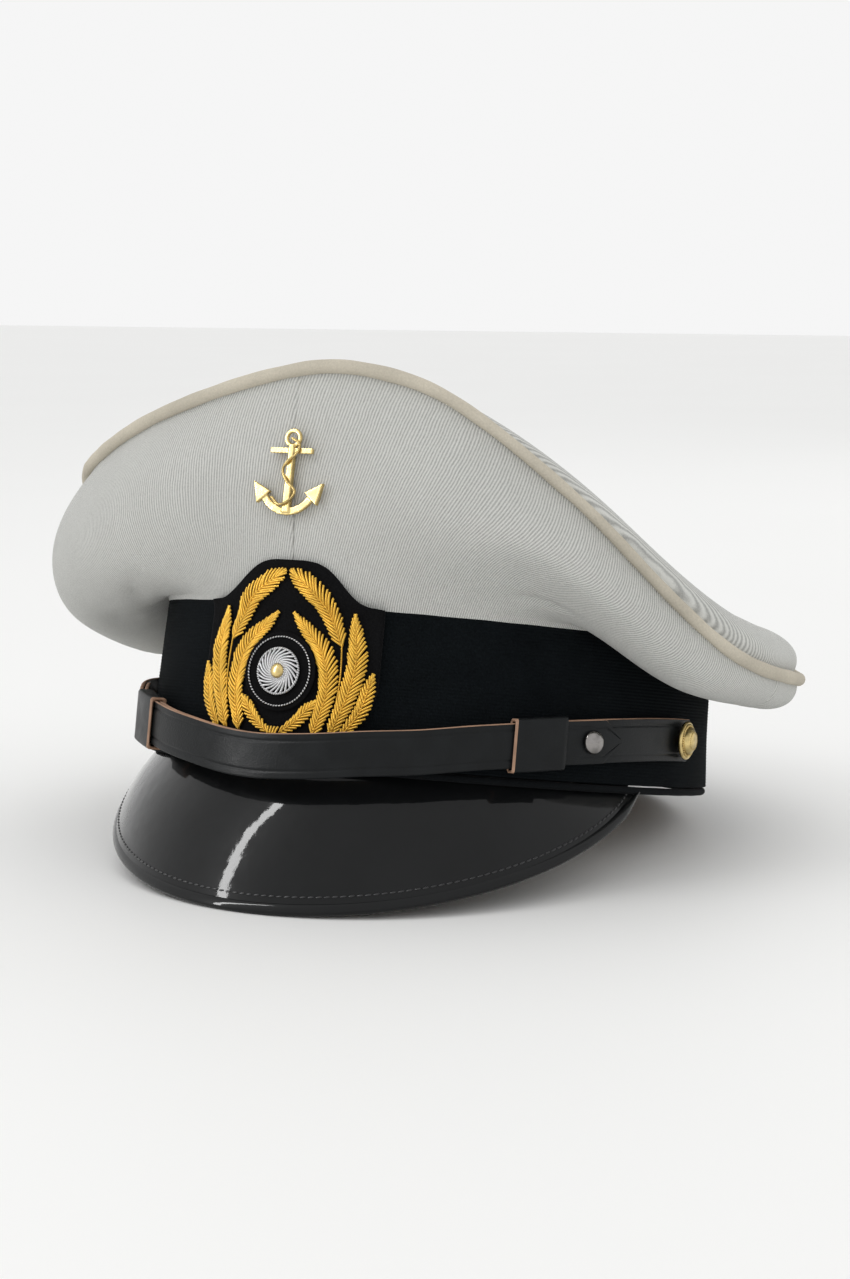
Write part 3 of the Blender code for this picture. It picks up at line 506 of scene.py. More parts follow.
def fabric(name, colour, grain, depth, sheen=0.02, roughness=0.95, contrast=0.4):
    """Felt and fine cloth: short fibres over broader, fainter patches."""
    cloth = Finish(
        name, colour, roughness, Sheen_Weight=sheen, Sheen_Roughness=0.45, Specular_IOR_Level=0.06,
    )
    fibres = cloth.noise(grain, 5.0)
    cloth.shade(fibres, 1 - contrast, 1 + contrast, 0.3, 0.7)
    cloth.shade(cloth.noise(24.0, 3.0), 0.85, 1.0, 0.35, 0.65)
    cloth.relief(fibres, depth)
    return cloth.material


def ribbed_cloth():
    cloth = Finish("ribbed_cloth", (0.0042, 0.0056, 0.0066), 0.85, Specular_IOR_Level=0.04)
    threads = cloth.noise(0.35, 3.0, stretch=(1.0, 1.0, 0.45))
    cloth.shade(threads, 0.55, 1.6, 0.3, 0.7)
    cloth.shade(cloth.noise(16.0, 4.0), 0.75, 1.0, 0.35, 0.65)
    cloth.relief(threads, 0.10)
    return cloth.material


def leather(name, colour, pebble, depth, low, high, worn=1.6, **sockets):
    hide = Finish(name, colour, (low + high) / 2, **sockets)
    grain = hide.cells(pebble)
    patches = hide.noise(7.0, 5.0)
    hide.shade(patches, 1.0, worn, 0.4, 0.75)
    hide.rough(patches, low, high)
    hide.relief(grain, depth)
    hide.relief(hide.noise(0.25, 3.0), depth * 0.4)
    return hide.material


def patent(name):
    """Black patent: a deep clear coat over leather, drawn very slightly uneven."""
    hide = Finish(
        name, (0.0042, 0.0046, 0.005), 0.35, Coat_Weight=1.0, Coat_Roughness=0.04, Coat_IOR=1.29,
        Specular_IOR_Level=0.05,
    )
    hide.shade(hide.noise(18.0, 4.0), 0.85, 1.2, 0.35, 0.65)
    hide.rough(hide.noise(5.0, 4.0), 0.28, 0.4)
    hide.relief(hide.noise(7.0, 2.0), 0.07)
    hide.relief(hide.noise(0.7, 3.0), 0.004)
    return hide.material


def metal(name, colour, low, high, grain=0.9, depth=0.02, tarnish=0.7):
    plate = Finish(name, colour, (low + high) / 2, 1.0)
    wear = plate.noise(grain * 3, 5.0)
    plate.shade(wear, tarnish, 1.0, 0.3, 0.6)
    plate.rough(wear, high, low)
    plate.relief(plate.noise(grain, 4.0), depth)
    return plate.material


def metal_thread(name, colour, coil, depth):
    """Thread wound from fine wire. Its coils follow the strand's own length where it carries one."""
    wire = Finish(name, colour, 0.36, 0.85)
    along = wire.add("ShaderNodeAttribute", out=2, attribute_name="along")
    coils = wire.ridges(along, coil)
    specks = wire.noise(0.4, 3.0)
    # Painted shade: the colour darkens in the grooves between the wire's coils, mixed with random specks of
    # tone.
    wire.shade(wire.math("ADD", wire.math("MULTIPLY", coils, 0.5), wire.math("MULTIPLY", specks, 0.5)),
               0.55, 1.15, 0.2, 0.75)
    wire.shade(wire.noise(6.0, 3.0), 0.8, 1.0, 0.35, 0.65)
    wire.relief(coils, depth)
    wire.relief(specks, 0.03)
    return wire.material


def satin():
    cloth = Finish("lining_satin", (0.50, 0.43, 0.28), 0.42, Sheen_Weight=0.3, Sheen_Roughness=0.3)
    threads = cloth.noise(0.5, 3.0, stretch=(4.0, 0.4, 1.0))
    cloth.shade(threads, 0.82, 1.08, 0.3, 0.7)
    cloth.shade(cloth.noise(30.0, 3.0), 0.86, 1.0, 0.35, 0.65)
    cloth.relief(threads, 0.05)
    return cloth.material


def fibre_board():
    board = Finish("fibre_board", (0.30, 0.24, 0.17), 0.85)
    flecks = board.noise(1.2, 5.0, stretch=(1.0, 1.0, 0.3))
    board.shade(flecks, 0.7, 1.2, 0.3, 0.7)
    board.relief(flecks, 0.08)
    return board.material


def clear_sheet():
    sheet = Finish("clear_sheet", (0.92, 0.90, 0.80), 0.12, Transmission_Weight=0.85, IOR=1.45)
    sheet.rough(sheet.noise(6.0, 4.0), 0.08, 0.22)
    sheet.relief(sheet.noise(12.0, 2.0), 0.05)
    return sheet.material


TWILL = twill("white_twill", (0.615, 0.618, 0.588), TWILL_PITCH, 12.0, 0.2)
TOP_TWILL = twill("white_twill_top", (0.615, 0.618, 0.588), TWILL_PITCH, 42.0, 0.2)
PIPING = fabric("piping_cord", (0.56, 0.515, 0.425), 0.6, 0.05, contrast=0.08)
RIBBED = ribbed_cloth()
FELT = fabric("felt", (0.005, 0.005, 0.0055), 0.5, 0.15)
WELT = fabric("welt_cloth", (0.006, 0.007, 0.008), 0.45, 0.10)
RIBBON = fabric("ribbon", (0.012, 0.012, 0.013), 0.35, 0.06, roughness=0.7)
SATIN = satin()
FIBRE = fibre_board()
CLEAR = clear_sheet()
SWEAT_LEATHER = leather("sweat_leather", (0.36, 0.205, 0.105), 0.9, 0.07, 0.38, 0.6, worn=0.75)
STRAP_BLACK = leather(
    "strap_leather", (0.0058, 0.0068, 0.0074), 0.55, 0.045, 0.3, 0.45, worn=1.5, Specular_IOR_Level=0.17,
)
RAW_EDGE = leather("raw_leather_edge", (0.40, 0.235, 0.15), 0.4, 0.08, 0.6, 0.85, worn=0.6)
UNDERSIDE = leather("visor_underside", (0.010, 0.011, 0.011), 1.1, 0.12, 0.5, 0.75, worn=1.3)
PATENT = patent("patent")
NICKEL = metal("dark_nickel", (0.30, 0.285, 0.275), 0.10, 0.2, depth=0.008, tarnish=0.6)
STEEL = metal("steel_wire", (0.52, 0.52, 0.53), 0.3, 0.5)
GILT = metal("gilt_metal", (0.74, 0.57, 0.25), 0.22, 0.38, depth=0.025, tarnish=0.55)
GOLD_THREAD = metal_thread("gold_bullion", (0.90, 0.53, 0.08), 0.34, 0.05)
SILVER_THREAD = metal_thread("silver_wire", (0.74, 0.74, 0.75), 0.34, 0.05)
BLACK_THREAD = leather("black_thread", (0.012, 0.012, 0.013), 0.3, 0.03, 0.25, 0.4, Specular_IOR_Level=0.6)
PALE_THREAD = fabric("pale_thread", (0.50, 0.44, 0.32), 0.3, 0.04, roughness=0.7)


# ---------------------------------------------------------------- the cap's surfaces


def head_oval(angle, offset, z):
    narrowing = BAND_TAPER * z / BAND_HEIGHT
    reach = offset - narrowing
    return vec((HEAD_X + reach) * np.sin(angle), -(HEAD_Y + reach) * np.cos(angle), z)


def outward(angle):
    return vec(np.sin(angle), -np.cos(angle), 0.0)


def hoop_height(angle):
    """The hoop's height at an angle, smooth through HOOP_HEIGHTS."""
    degrees = (np.degrees(angle) + 180) % 360 - 180
    knots = np.array(HOOP_HEIGHTS)
    turn = np.array([360.0, 0.0])
    knots = np.vstack([knots[-2:] - turn, knots, knots[:3] + turn])
    i = np.searchsorted(knots[:, 0], degrees, side="right") - 1
    (a0, h0), (a1, h1), (a2, h2), (a3, h3) = (knots[i + k].T for k in (-1, 0, 1, 2))
    t = (degrees - a1.T) / (a2 - a1).T
    slope1 = ((h2 - h0) / (a2 - a0) * (a2 - a1)).T
    slope2 = ((h3 - h1) / (a3 - a1) * (a2 - a1)).T
    return (
        (2 * t**3 - 3 * t**2 + 1) * h1.T + (t**3 - 2 * t**2 + t) * slope1
        + (3 * t**2 - 2 * t**3) * h2.T + (t**3 - t**2) * slope2
    )


def crown_plan(angle, share=1.0):
    reach = np.where(np.cos(angle) > 0, CROWN_FRONT, CROWN_REAR)
    x, y = CROWN_CENTRE
    return vec(x + CROWN_X * share * np.sin(angle), y - reach * share * np.cos(angle), 0.0)


def crown_edge(angle):
    return crown_plan(angle) + hoop_height(angle)[..., None] * UP


def crown_side(angle, t):
    """The crown's outer face between the band (t = 0) and the piping (t = 1)."""
    angle, t = np.broadcast_arrays(np.asarray(angle, float), np.asarray(t, float))
    out = outward(angle)
    low = head_oval(angle, 0.5, BAND_HEIGHT) + 0.3 * UP
    high = crown_edge(angle) - 0.3 * out - (PIPING_RADIUS + 0.5) * UP
    rise = (hoop_height(angle) - BAND_HEIGHT)[..., None]
    degrees = ((np.degrees(angle) + 180) % 360 - 180)[..., None]
    side = smooth_step(np.abs(degrees) / 70)
    hang = np.where(degrees > 0, smooth_step((degrees - 35) / 38), side)
    droop = bell(degrees + 92, 32)
    belly = (2 + side * (9.7 + 0.2 * rise)) * out + (25 + hang * (-50.5 + 0.085 * rise) - 10 * droop) * UP
    shoulder = (3 + side * (1.8 + 0.55 * rise)) * out + (-20 + side * (5.4 - 0.51 * rise) - 8 * droop) * UP
    t = t[..., None]
    left = 1 - t
    lower = left**3 * low + 3 * left**2 * t * (low + belly)
    return lower + 3 * left * t**2 * (high + shoulder) + t**3 * high


def hoop_waves():
    turns = np.radians(np.arange(0, 360, 2.0))
    heights = hoop_height(turns)
    waves = [
        (2 * np.mean(heights * np.cos(k * turns)), 2 * np.mean(heights * np.sin(k * turns)))
        for k in range(1, 9)
    ]
    return heights.mean(), waves


HOOP_MEAN, HOOP_WAVES = hoop_waves()


def top_surface(angle, share):
    """The top panel over its edge's plan: share runs from 0 at the centre to 1 at the piping."""
    angle, share = np.broadcast_arrays(np.asarray(angle, float), np.asarray(share, float))
    height = HOOP_MEAN + sum(
        share**k * (a * np.cos(k * angle) + b * np.sin(k * angle)) for k, (a, b) in enumerate(HOOP_WAVES, 1)
    )
    degrees = np.abs((np.degrees(angle) + 30 + 180) % 360 - 180)
    slack = 2.0 + 9.5 * smooth_step((degrees - 38) / 45)
    edge = np.maximum(0.0, (share - (1 - TOP_ROUND)) / TOP_ROUND)
    puff = (8.0 + (slack - 8.0) * share**2) * np.sqrt(np.maximum(0.0, 1 - edge**2))
    inset = (PIPING_RADIUS + 0.6) / CROWN_X
    point = crown_plan(angle, share * (1 - inset))
    point[..., 2] = height + puff + TOP_DOME * (1 - share**2) + 0.3
    return point


def normals(surface, first, second, step=1e-3):
    """Unit normals of a surface of two numbers, the second of which stays from 0 to 1."""
    low, high = np.maximum(second - step, 0.0), np.minimum(second + step, 1.0)
    along = surface(first + step, second) - surface(first - step, second)
    across = surface(first, high) - surface(first, low)
    return unit(np.cross(along, across))


def arc_lengths(points):
    """Distance along each row of points, (rows, points, 3)."""
    steps = np.linalg.norm(np.diff(points, axis=1), axis=-1)
    return np.concatenate([np.zeros((len(points), 1)), np.cumsum(steps, axis=1)], axis=1)


# ---------------------------------------------------------------- crown


def cloth_relief(angle, t):
    """How far the crown's cloth lies off its drawn shape: slow waves, a dimple, creases, pulls at the band
    and a fuller right side."""
    degrees = np.degrees((angle + math.pi) % (2 * math.pi) - math.pi)
    waves = 0.30 * np.sin(3.1 * angle + 4 * t) + 0.22 * np.sin(7.3 * angle - 6 * t + 1)
    waves = waves + 0.12 * np.sin(15.1 * angle + 9 * t + 2)
    dimple = -1.9 * bell(degrees + 62, 7) * bell(t - 0.24, 0.12)
    fold = -0.9 * bell(degrees - 46 - 60 * (t - 0.17), 2.4) * bell(t - 0.17, 0.07)
    fold = fold - 1.1 * bell(degrees + 50 - 30 * t, 3.0) * bell(t - 0.24, 0.09)
    pulls = 0.16 * np.sin(46 * angle + 3 * np.sin(5 * angle)) * bell(t, 0.12)
    full = 1.9 * bell(degrees + 72, 26) * bell(t - 0.6, 0.25)
    return waves * np.sin(math.pi * np.clip(t, 0, 1)) + dimple + fold + pulls + full


def seam_tuck(distance):
    """The pressed seam between two panels: the cloth turns in within a millimetre of it."""
    return -0.5 * bell(distance, 0.6) + 0.12 * bell(distance - 2.4, 1.5)


def crown_quarter(name, node, start, end):
    arc_share = np.linspace(0, 1, 121)
    arc_share = arc_share - 0.035 * np.sin(2 * math.pi * arc_share)
    angle = (np.radians(start) + 0.0002 + (np.radians(end - start) - 0.0004) * arc_share)[:, None]
    t = np.linspace(0, 1, 61)[None, :]
    faces_out = normals(crown_side, angle, t)
    middle = crown_side(angle, 0.5 + 0 * t)[:, 0]
    across = arc_lengths(middle[None])[0]
    skin = crown_side(angle, t)
    upward = arc_lengths(skin)
    reach = np.minimum(across, across[-1] - across)[:, None] * np.ones_like(t)
    raised = cloth_relief(angle, t) + seam_tuck(reach)
    outer = skin + raised[..., None] * faces_out
    inner = skin + (raised[..., None] - CLOTH) * faces_out
    flat_angle = angle[:, 0]
    foot = [head_oval(flat_angle, off, 45.4) for off in (-0.3, -1.35)]
    head = [crown_edge(flat_angle) - off * outward(flat_angle) - 0.9 * UP for off in (0.4, 1.6)]
    rings = np.concatenate([
        foot[0][:, None], outer, head[0][:, None], head[1][:, None], inner[:, ::-1], foot[1][:, None],
    ], axis=1)
    rise = np.concatenate([upward[:, :1] - 2, upward, upward[:, -1:] + 2], axis=1)
    rise = np.concatenate([rise, rise[:, ::-1]], axis=1)
    run = (across + middle_start(start))[:, None] + 0 * rise
    obj = swept(name, rings, [TWILL], closed=False, uv=np.stack([run, rise], -1))
    finish_piece(obj, "cap", [node])


def middle_start(degrees):
    """Where a quarter's cloth starts in the bolt, so that its ridges don't line up with the next one's."""
    return 0.37 * degrees


def make_crown_top():
    angle = round_turns(288)[:, None]
    share = (1 - np.linspace(0, 1, 72) ** 1.6)[None, :]
    top = top_surface(angle, share)
    plan = top[..., :2]
    waves = 0.35 * np.sin(plan[..., 0] / 17 + 1) * np.sin(plan[..., 1] / 23)
    waves = waves + 0.22 * np.sin(plan[..., 0] / 9 - plan[..., 1] / 13)
    top[..., 2] += waves * np.clip((1 - share) / 0.15, 0, 1)
    edge = np.maximum(0.0, (share - (1 - TOP_ROUND)) / TOP_ROUND)
    back = smooth_step((np.abs((np.degrees(angle) + 210) % 360 - 180) - 60) / 45)
    overhang = TOP_OVERHANG * back * edge * np.sqrt(np.maximum(0.0, 1 - edge**2))
    top += overhang[..., None] * outward(angle + 0 * share)
    lean = (np.arcsin(np.minimum(1.0, edge)) * 0.9 + 0 * angle)[..., None]
    under = top - CLOTH * (np.sin(lean) * outward(angle + 0 * share) + np.cos(lean) * UP)
    flat_angle = angle[:, 0]
    tucks = [
        crown_edge(flat_angle) - off * outward(flat_angle) - down * UP
        for off, down in ((0.9, 0.1), (1.9, 1.0))
    ]
    rings = np.concatenate([tucks[0][:, None], top, under[:, ::-1], tucks[1][:, None]], axis=1)
    obj = swept("crown_top_cloth", rings, [TOP_TWILL], uv=rings[..., :2])
    finish_piece(obj, "cap", ["crown_top_panel"])


def round_tube(name, centres, out, up, radius, material, sides=16, squash=1.0):
    turn = round_turns(sides)[None, :, None]
    rings = centres[:, None] + radius * (np.cos(turn) * out[:, None] + squash * np.sin(turn) * up[:, None])
    return swept(name, rings, [material])


def make_piping():
    angle = round_turns(480)
    radius = (PIPING_RADIUS + 0.05 * np.sin(31 * angle) + 0.04 * np.sin(57 * angle + 1))[:, None, None]
    up = np.broadcast_to(UP, (len(angle), 3))
    obj = round_tube("crown_piping_cord", crown_edge(angle), outward(angle), up, radius, PIPING)
    finish_piece(obj, "cap", ["crown_piping"])
    wire = crown_edge(angle[::2]) - 6.4 * outward(angle[::2]) - 6.2 * UP
    obj = round_tube("crown_hoop_wire", wire, outward(angle[::2]), up[::2], 1.5, STEEL, sides=12)
    finish_piece(obj, "cap", ["crown_hoop"])


def make_crown():
    for name, start, end in (
        ("front_left", 0, 90), ("rear_left", 90, 180), ("rear_right", 180, 270), ("front_right", 270, 360),
    ):
        crown_quarter(f"crown_cloth_{name}", f"crown_panel_{name}", start, end)
    make_crown_top()
    make_piping()


# ---------------------------------------------------------------- inside


def lining_surface(angle, step_up):
    """A short upright skirt behind the sweatband, then a dome over the head."""
    sweep = np.maximum(0.0, (step_up - 0.12) / 0.88) * math.pi / 2
    point = head_oval(angle, -3.3, 41.0 + 6.0 * np.minimum(1.0, step_up / 0.12))
    point[..., :2] *= np.cos(sweep)[..., None]
    point[..., 2] += 25.0 * np.sin(sweep)
    return point


def make_lining():
    angle = round_turns(288)[:, None]
    steps = np.concatenate([np.linspace(0, 0.12, 5), np.linspace(0.12, 1, 60)[1:]])[None, :]
    grid = lining_surface(angle, steps + 0 * angle)
    sweep = np.maximum(0.0, (steps - 0.12) / 0.88) * math.pi / 2
    gathers = 0.45 * np.sin(36 * angle + 2 * np.sin(3 * angle))
    gathers = gathers * np.sin(math.pi * np.clip(steps, 0, 1)) ** 0.6
    gathers = gathers * np.clip((1 - steps) * 4, 0, 1)
    way = np.cos(sweep)[..., None] * outward(angle + 0 * steps) + np.sin(sweep)[..., None] * UP
    outer = grid + (gathers - 0.3)[..., None] * way
    inner = grid + (gathers - 0.75)[..., None] * way
    obj = swept("crown_lining_satin", np.concatenate([outer, inner[:, ::-1]], axis=1), [SATIN])
    finish_piece(obj, "cap", ["crown_lining"])

    steps = np.linspace(0.55, 1.0, 30)[None, :]
    grid = lining_surface(angle, steps + 0 * angle)
    outer, inner = grid - 1.7 * UP, grid - 2.2 * UP
    obj = swept("sweat_shield_sheet", np.concatenate([outer, inner[:, ::-1]], axis=1), [CLEAR])
    finish_piece(obj, "cap", ["sweat_shield"])

    flat_angle = np.linspace(0, 2 * math.pi, 361)
    rim = lining_surface(flat_angle, np.full(361, 0.575)) - 2.3 * UP
    obj = grown("sweat_shield_stitches", [(rim, -UP, None)], BEADS, PALE_THREAD,
                Spacing=2.6, Length=2.0, Width=0.45, Height=0.4, Slant=0.0)
    finish_piece(obj, "cap")


def make_sweatband():
    angle = round_turns(320)
    edge = arc((-5.7, 2.1), 0.6, 180, 360, 7) + arc((-5.7, 37.4), 0.6, 0, 180, 7)
    waver = 0.35 * np.sin(5 * angle) + 0.2 * np.sin(11 * angle + 1)
    rings = np.stack([
        head_oval(angle, off + waver * smooth_step((z - 8) / 30) * 0.4, z) for off, z in edge
    ], axis=1)
    obj = swept("sweatband_leather", rings, [SWEAT_LEATHER])
    finish_piece(obj, "cap", ["sweatband"])

    full = np.linspace(0, 2 * math.pi, 721)
    rows = [(head_oval(full, -6.32, z), -outward(full), None) for z in (4.2, 34.8)]
    obj = grown("sweatband_stitches", rows, BEADS, PALE_THREAD,
                Spacing=3.0, Length=2.3, Width=0.5, Height=0.4, Slant=0.0)
    finish_piece(obj, "cap")

    # The reed that rolls the leather's lower edge.
    up = np.broadcast_to(UP, (len(angle), 3))
    centres = head_oval(angle, -3.6, 1.0)
    obj = round_tube("sweatband_reed", centres, outward(angle), up, 0.95, SWEAT_LEATHER, sides=12)
    finish_piece(obj, "cap")


def make_bow():
    """Two soft loops of ribbon at the back of the sweatband, gathered at a knot."""
    across = np.linspace(-9, 9, 57)[:, None]
    share = np.linspace(-1, 1, 15)[None, :]
    half = 1.0 + 2.3 * smooth_step(np.abs(across) / 7.5) - 0.5 * smooth_step((np.abs(across) - 7.5) / 1.5)
    puff = 0.9 * np.sin(math.pi * np.clip(np.abs(across) / 9, 0, 1)) * (1 - 0.5 * share**2)
    pleat = 0.22 * np.sin(share * 8) * bell(across, 4.0)
    face_y = HEAD_Y - 6.3 - BAND_TAPER / 2
    front = vec(across, face_y - 1.9 - puff - pleat, 22.0 + half * share)
    back = front + np.array([0, 0.5, 0])
    loops = swept("bow_loops", np.concatenate([front, back[:, ::-1]], axis=1), [RIBBON], closed=False)
    u, v = round_turns(20)[None, :], np.linspace(-1.45, 1.45, 13)[:, None]
    knot = vec(
        1.5 * np.sin(v) * (1 + 0.1 * np.cos(u)), face_y - 2.1 - 1.2 * np.cos(v) * np.cos(u),
        22.0 + 2.0 * np.sin(u) * (0.6 + 0.4 * np.cos(v)),
    )
    obj = joined("sweatband_bow_ribbon", [loops, swept("bow_knot", knot, [RIBBON], closed=False)])
    finish_piece(obj, "cap", ["sweatband_bow"])


# ---------------------------------------------------------------- band


def make_band():
    angle = round_turns(288)[:, None]
    z = np.linspace(0.25, BAND_HEIGHT - 0.25, int(BAND_HEIGHT / RIB_PITCH) * 4 + 1)[None, :]
    rib = RIB_DEPTH * (np.abs(np.sin(math.pi * z / RIB_PITCH)) ** 0.7 - 1)
    soft = 0.12 * np.sin(5 * angle + z / 9) + 0.08 * np.sin(13 * angle - z / 6)
    join = -0.5 * bell((np.degrees(angle) - 180) * 1.8, 0.9)
    offset = rib + (soft + join) * np.sin(math.pi * z / BAND_HEIGHT)
    outer = head_oval(angle, offset, z)
    ends = [(-0.35, 0.0), (-0.85, 0.0)], [(-0.85, BAND_HEIGHT), (-0.35, BAND_HEIGHT)]
    foot = np.stack([head_oval(angle[:, 0], off, h) for off, h in ends[0][::-1]], axis=1)
    head = np.stack([head_oval(angle[:, 0], off, h) for off, h in ends[1][::-1]], axis=1)
    inner = head_oval(angle, -BAND_CLOTH, np.array([[46.7, 30.0, 15.0, 0.3]]))
    obj = swept("cap_band_cloth", np.concatenate([foot, outer, head, inner], axis=1), [RIBBED], sharp=80.0)
    finish_piece(obj, "cap", ["cap_band"])

    flat_angle = angle[:, 0]
    up = np.broadcast_to(UP, (len(flat_angle), 3))
    centre = head_oval(flat_angle, -1.3, 0.0) - 1.55 * UP
    radius = (1.15 + 0.03 * np.sin(41 * flat_angle))[:, None, None]
    obj = round_tube("band_welt_cord", centre, outward(flat_angle), up, radius, WELT, sides=14)
    finish_piece(obj, "cap", ["band_welt"])


# ---------------------------------------------------------------- visor


def visor_lip(turn):
    reach = np.maximum(0.0, np.cos(turn))
    return vec(LIP_X * np.sin(turn), LIP_BACK + (LIP_FRONT - LIP_BACK) * reach, -LIP_DROP * reach**0.76)


def visor_root(turn):
    return head_oval(turn * ROOT_SHARE, -3.5, -1.2 + 0 * turn)


def visor_surface(turn, share):
    """The visor's upper face from the root (0) to the lip (1), slightly crowned."""
    turn, share = np.broadcast_arrays(turn, share)
    root, lip = visor_root(turn), visor_lip(turn)
    crown = (3.2 * np.sin(math.pi * share) * np.maximum(0.0, np.cos(turn)))[..., None]
    return root + (lip - root) * share[..., None] + crown * (outward(turn) * 0.85 + 0.5 * UP)


def visor_down(turn, share, step=1e-3):
    along = visor_surface(turn + step, share) - visor_surface(turn - step, share)
    across = visor_surface(turn, share + step) - visor_surface(turn, share - step)
    return unit(np.cross(along, across))


def make_visor():
    half_sweep = math.radians(VISOR_SWEEP)
    turn = (half_sweep * np.sin(np.linspace(-math.pi / 2, math.pi / 2, 181)))[:, None]
    span = np.linalg.norm(visor_lip(turn) - visor_root(turn), axis=-1)
    stop = np.maximum(0.35, 1 - (BINDING_WIDTH - 1.2) / span)

    def layer(depth, low):
        share = low + (stop - low) * np.linspace(0, 1, 41)[None, :]
        return visor_surface(turn, share) + depth * visor_down(turn, share)

    flat_turn = turn[:, 0]
    flange = [
        np.stack([head_oval(flat_turn * ROOT_SHARE, off, h + 0 * flat_turn) for h in heights], axis=1)
        for off, heights in ((-2.9, (6.0, 3.5, 1.0)), (-4.2, (1.0, 3.5, 6.0)))
    ]
    under = layer(VISOR_THICKNESS, 0.0)[:, ::-1]
    rings = np.concatenate([flange[0], layer(0.0, 0.0), under, flange[1]], axis=1)
    obj = swept("visor_patent", rings, [PATENT], closed=False)
    finish_piece(obj, "cap", ["visor_shell"])

    under = layer(VISOR_THICKNESS + 0.9, 0.03)[:, ::-1]
    rings = np.concatenate([layer(VISOR_THICKNESS + 0.15, 0.03), under], axis=1)
    obj = swept("visor_under_cloth", rings, [UNDERSIDE], closed=False)
    finish_piece(obj, "cap", ["visor_lining"])
    make_binding()


def make_binding():
    turn = math.radians(BINDING_SWEEP) * np.sin(np.linspace(-math.pi / 2, math.pi / 2, 241))
    lip, root = visor_lip(turn), visor_root(turn)
    across = unit(lip - root)
    down = unit(np.cross(visor_lip(turn + 1e-3) - visor_lip(turn - 1e-3), across))
    fade = (0.3 + 0.7 * smooth_step((BINDING_SWEEP - np.abs(np.degrees(turn))) / 7))[:, None, None]
    round_turn = round_turns(28)
    wide = np.sign(np.cos(round_turn)) * np.abs(np.cos(round_turn)) ** 0.85 * (BINDING_WIDTH / 2 + 0.15)
    thick = np.sign(np.sin(round_turn)) * np.abs(np.sin(round_turn)) ** 0.75 * BINDING_THICKNESS / 2
    thick = thick * (0.72 + 0.28 * smooth_step((wide + 2.2) / 2.4))
    centre = (lip - across * BINDING_WIDTH / 2)[:, None]
    rings = centre + fade * wide[None, :, None] * across[:, None]
    rings = rings + (VISOR_THICKNESS / 2 + fade * thick[None, :, None]) * down[:, None]
    obj = swept("visor_binding_bead", rings, [PATENT], closed=False)
    finish_piece(obj, "cap", ["visor_binding"])

    sweep = np.radians(np.linspace(-86, 86, 401))
    span = np.linalg.norm(visor_lip(sweep) - visor_root(sweep), axis=-1)
    share = np.maximum(0.2, 1 - (BINDING_WIDTH + 0.75) / span)
    down = visor_down(sweep, share)
    paths = [(visor_surface(sweep, share) - 0.05 * down, -down, None)]
    obj = grown("visor_stitches", paths, BEADS, BLACK_THREAD,
                Spacing=2.4, Length=1.95, Width=0.62, Height=0.62, Slant=0.12)
    finish_piece(obj, "cap")


# ---------------------------------------------------------------- chin strap


def strap_standoff(degrees):
    near = smooth_step((80 - np.abs(degrees)) / 20) * (1 - 0.7 * smooth_step((-42 - degrees) / 12))
    front = smooth_step(1 - np.abs(degrees) / 55)
    return 1.1 + 1.3 * near + 4.3 * front


def strap_point(degrees, offset, v):
    degrees, offset, v = np.broadcast_arrays(*(np.asarray(x, float) for x in (degrees, offset, v)))
    distance = strap_standoff(degrees) + offset
    angle = np.radians(degrees)
    height = BUTTON_HEIGHT * (np.sin(angle)**2 + 0.002)**0.65
    return vec((HEAD_X + distance) * np.sin(angle), -(HEAD_Y + distance) * np.cos(angle), height + v)


def strap_section():
    """The strap cut across, as (height from its middle, depth), with a groove pressed near each edge.
    The last list says which stretches are raw: the upper edge is left undyed."""
    half, deep, soft = STRAP_WIDTH / 2, STRAP_LEATHER, 0.28
    groove = half - 2.3
    front = []
    for v in np.linspace(-half + soft, half - soft, 45):
        dip = 0.30 * (bell(v - groove, 0.34) + bell(v + groove, 0.34))
        crown = 0.10 * (1 - (v / half)**2)
        front.append((v, deep - 0.10 + crown - dip))
    lower = [(-half + 0.06, deep - 0.32), (-half, deep * 0.5), (-half + 0.06, 0.25)]
    upper = [(half - 0.06, 0.25), (half, deep * 0.5), (half - 0.06, deep - 0.32)]
    back = [(v, 0.0) for v in np.linspace(half - soft, -half + soft, 6)]
    section = lower[::-1] + front + upper[::-1] + back
    marks = [0] * (len(front) + 2) + [1] * 4 + [0] * 6
    return np.array(section), marks


def make_strap_half(name, node, start, end, offset):
    degrees = np.linspace(start, end, 260)
    section, marks = strap_section()
    taper = np.minimum(1.0, 0.12 + 0.88 * np.abs(end - degrees) / 3.6)
    drop = np.where(start * degrees > 0, smooth_step((np.abs(degrees) - 68) / 9), 0.0)
    wave = 0.18 * np.sin(np.radians(degrees) * 9) + 0.10 * np.sin(np.radians(degrees) * 21 + 1)
    wave = wave * smooth_step((60 - np.abs(degrees)) / 20)
    depth = offset * (1 - drop)[:, None] + section[None, :, 1]
    v = section[None, :, 0] * taper[:, None] + wave[:, None]
    rings = strap_point(degrees[:, None], depth, v)
    obj = swept(name, rings, [STRAP_BLACK, RAW_EDGE], closed=False, column_marks=marks, sharp=60.0)
    finish_piece(obj, "chin_strap", [node])


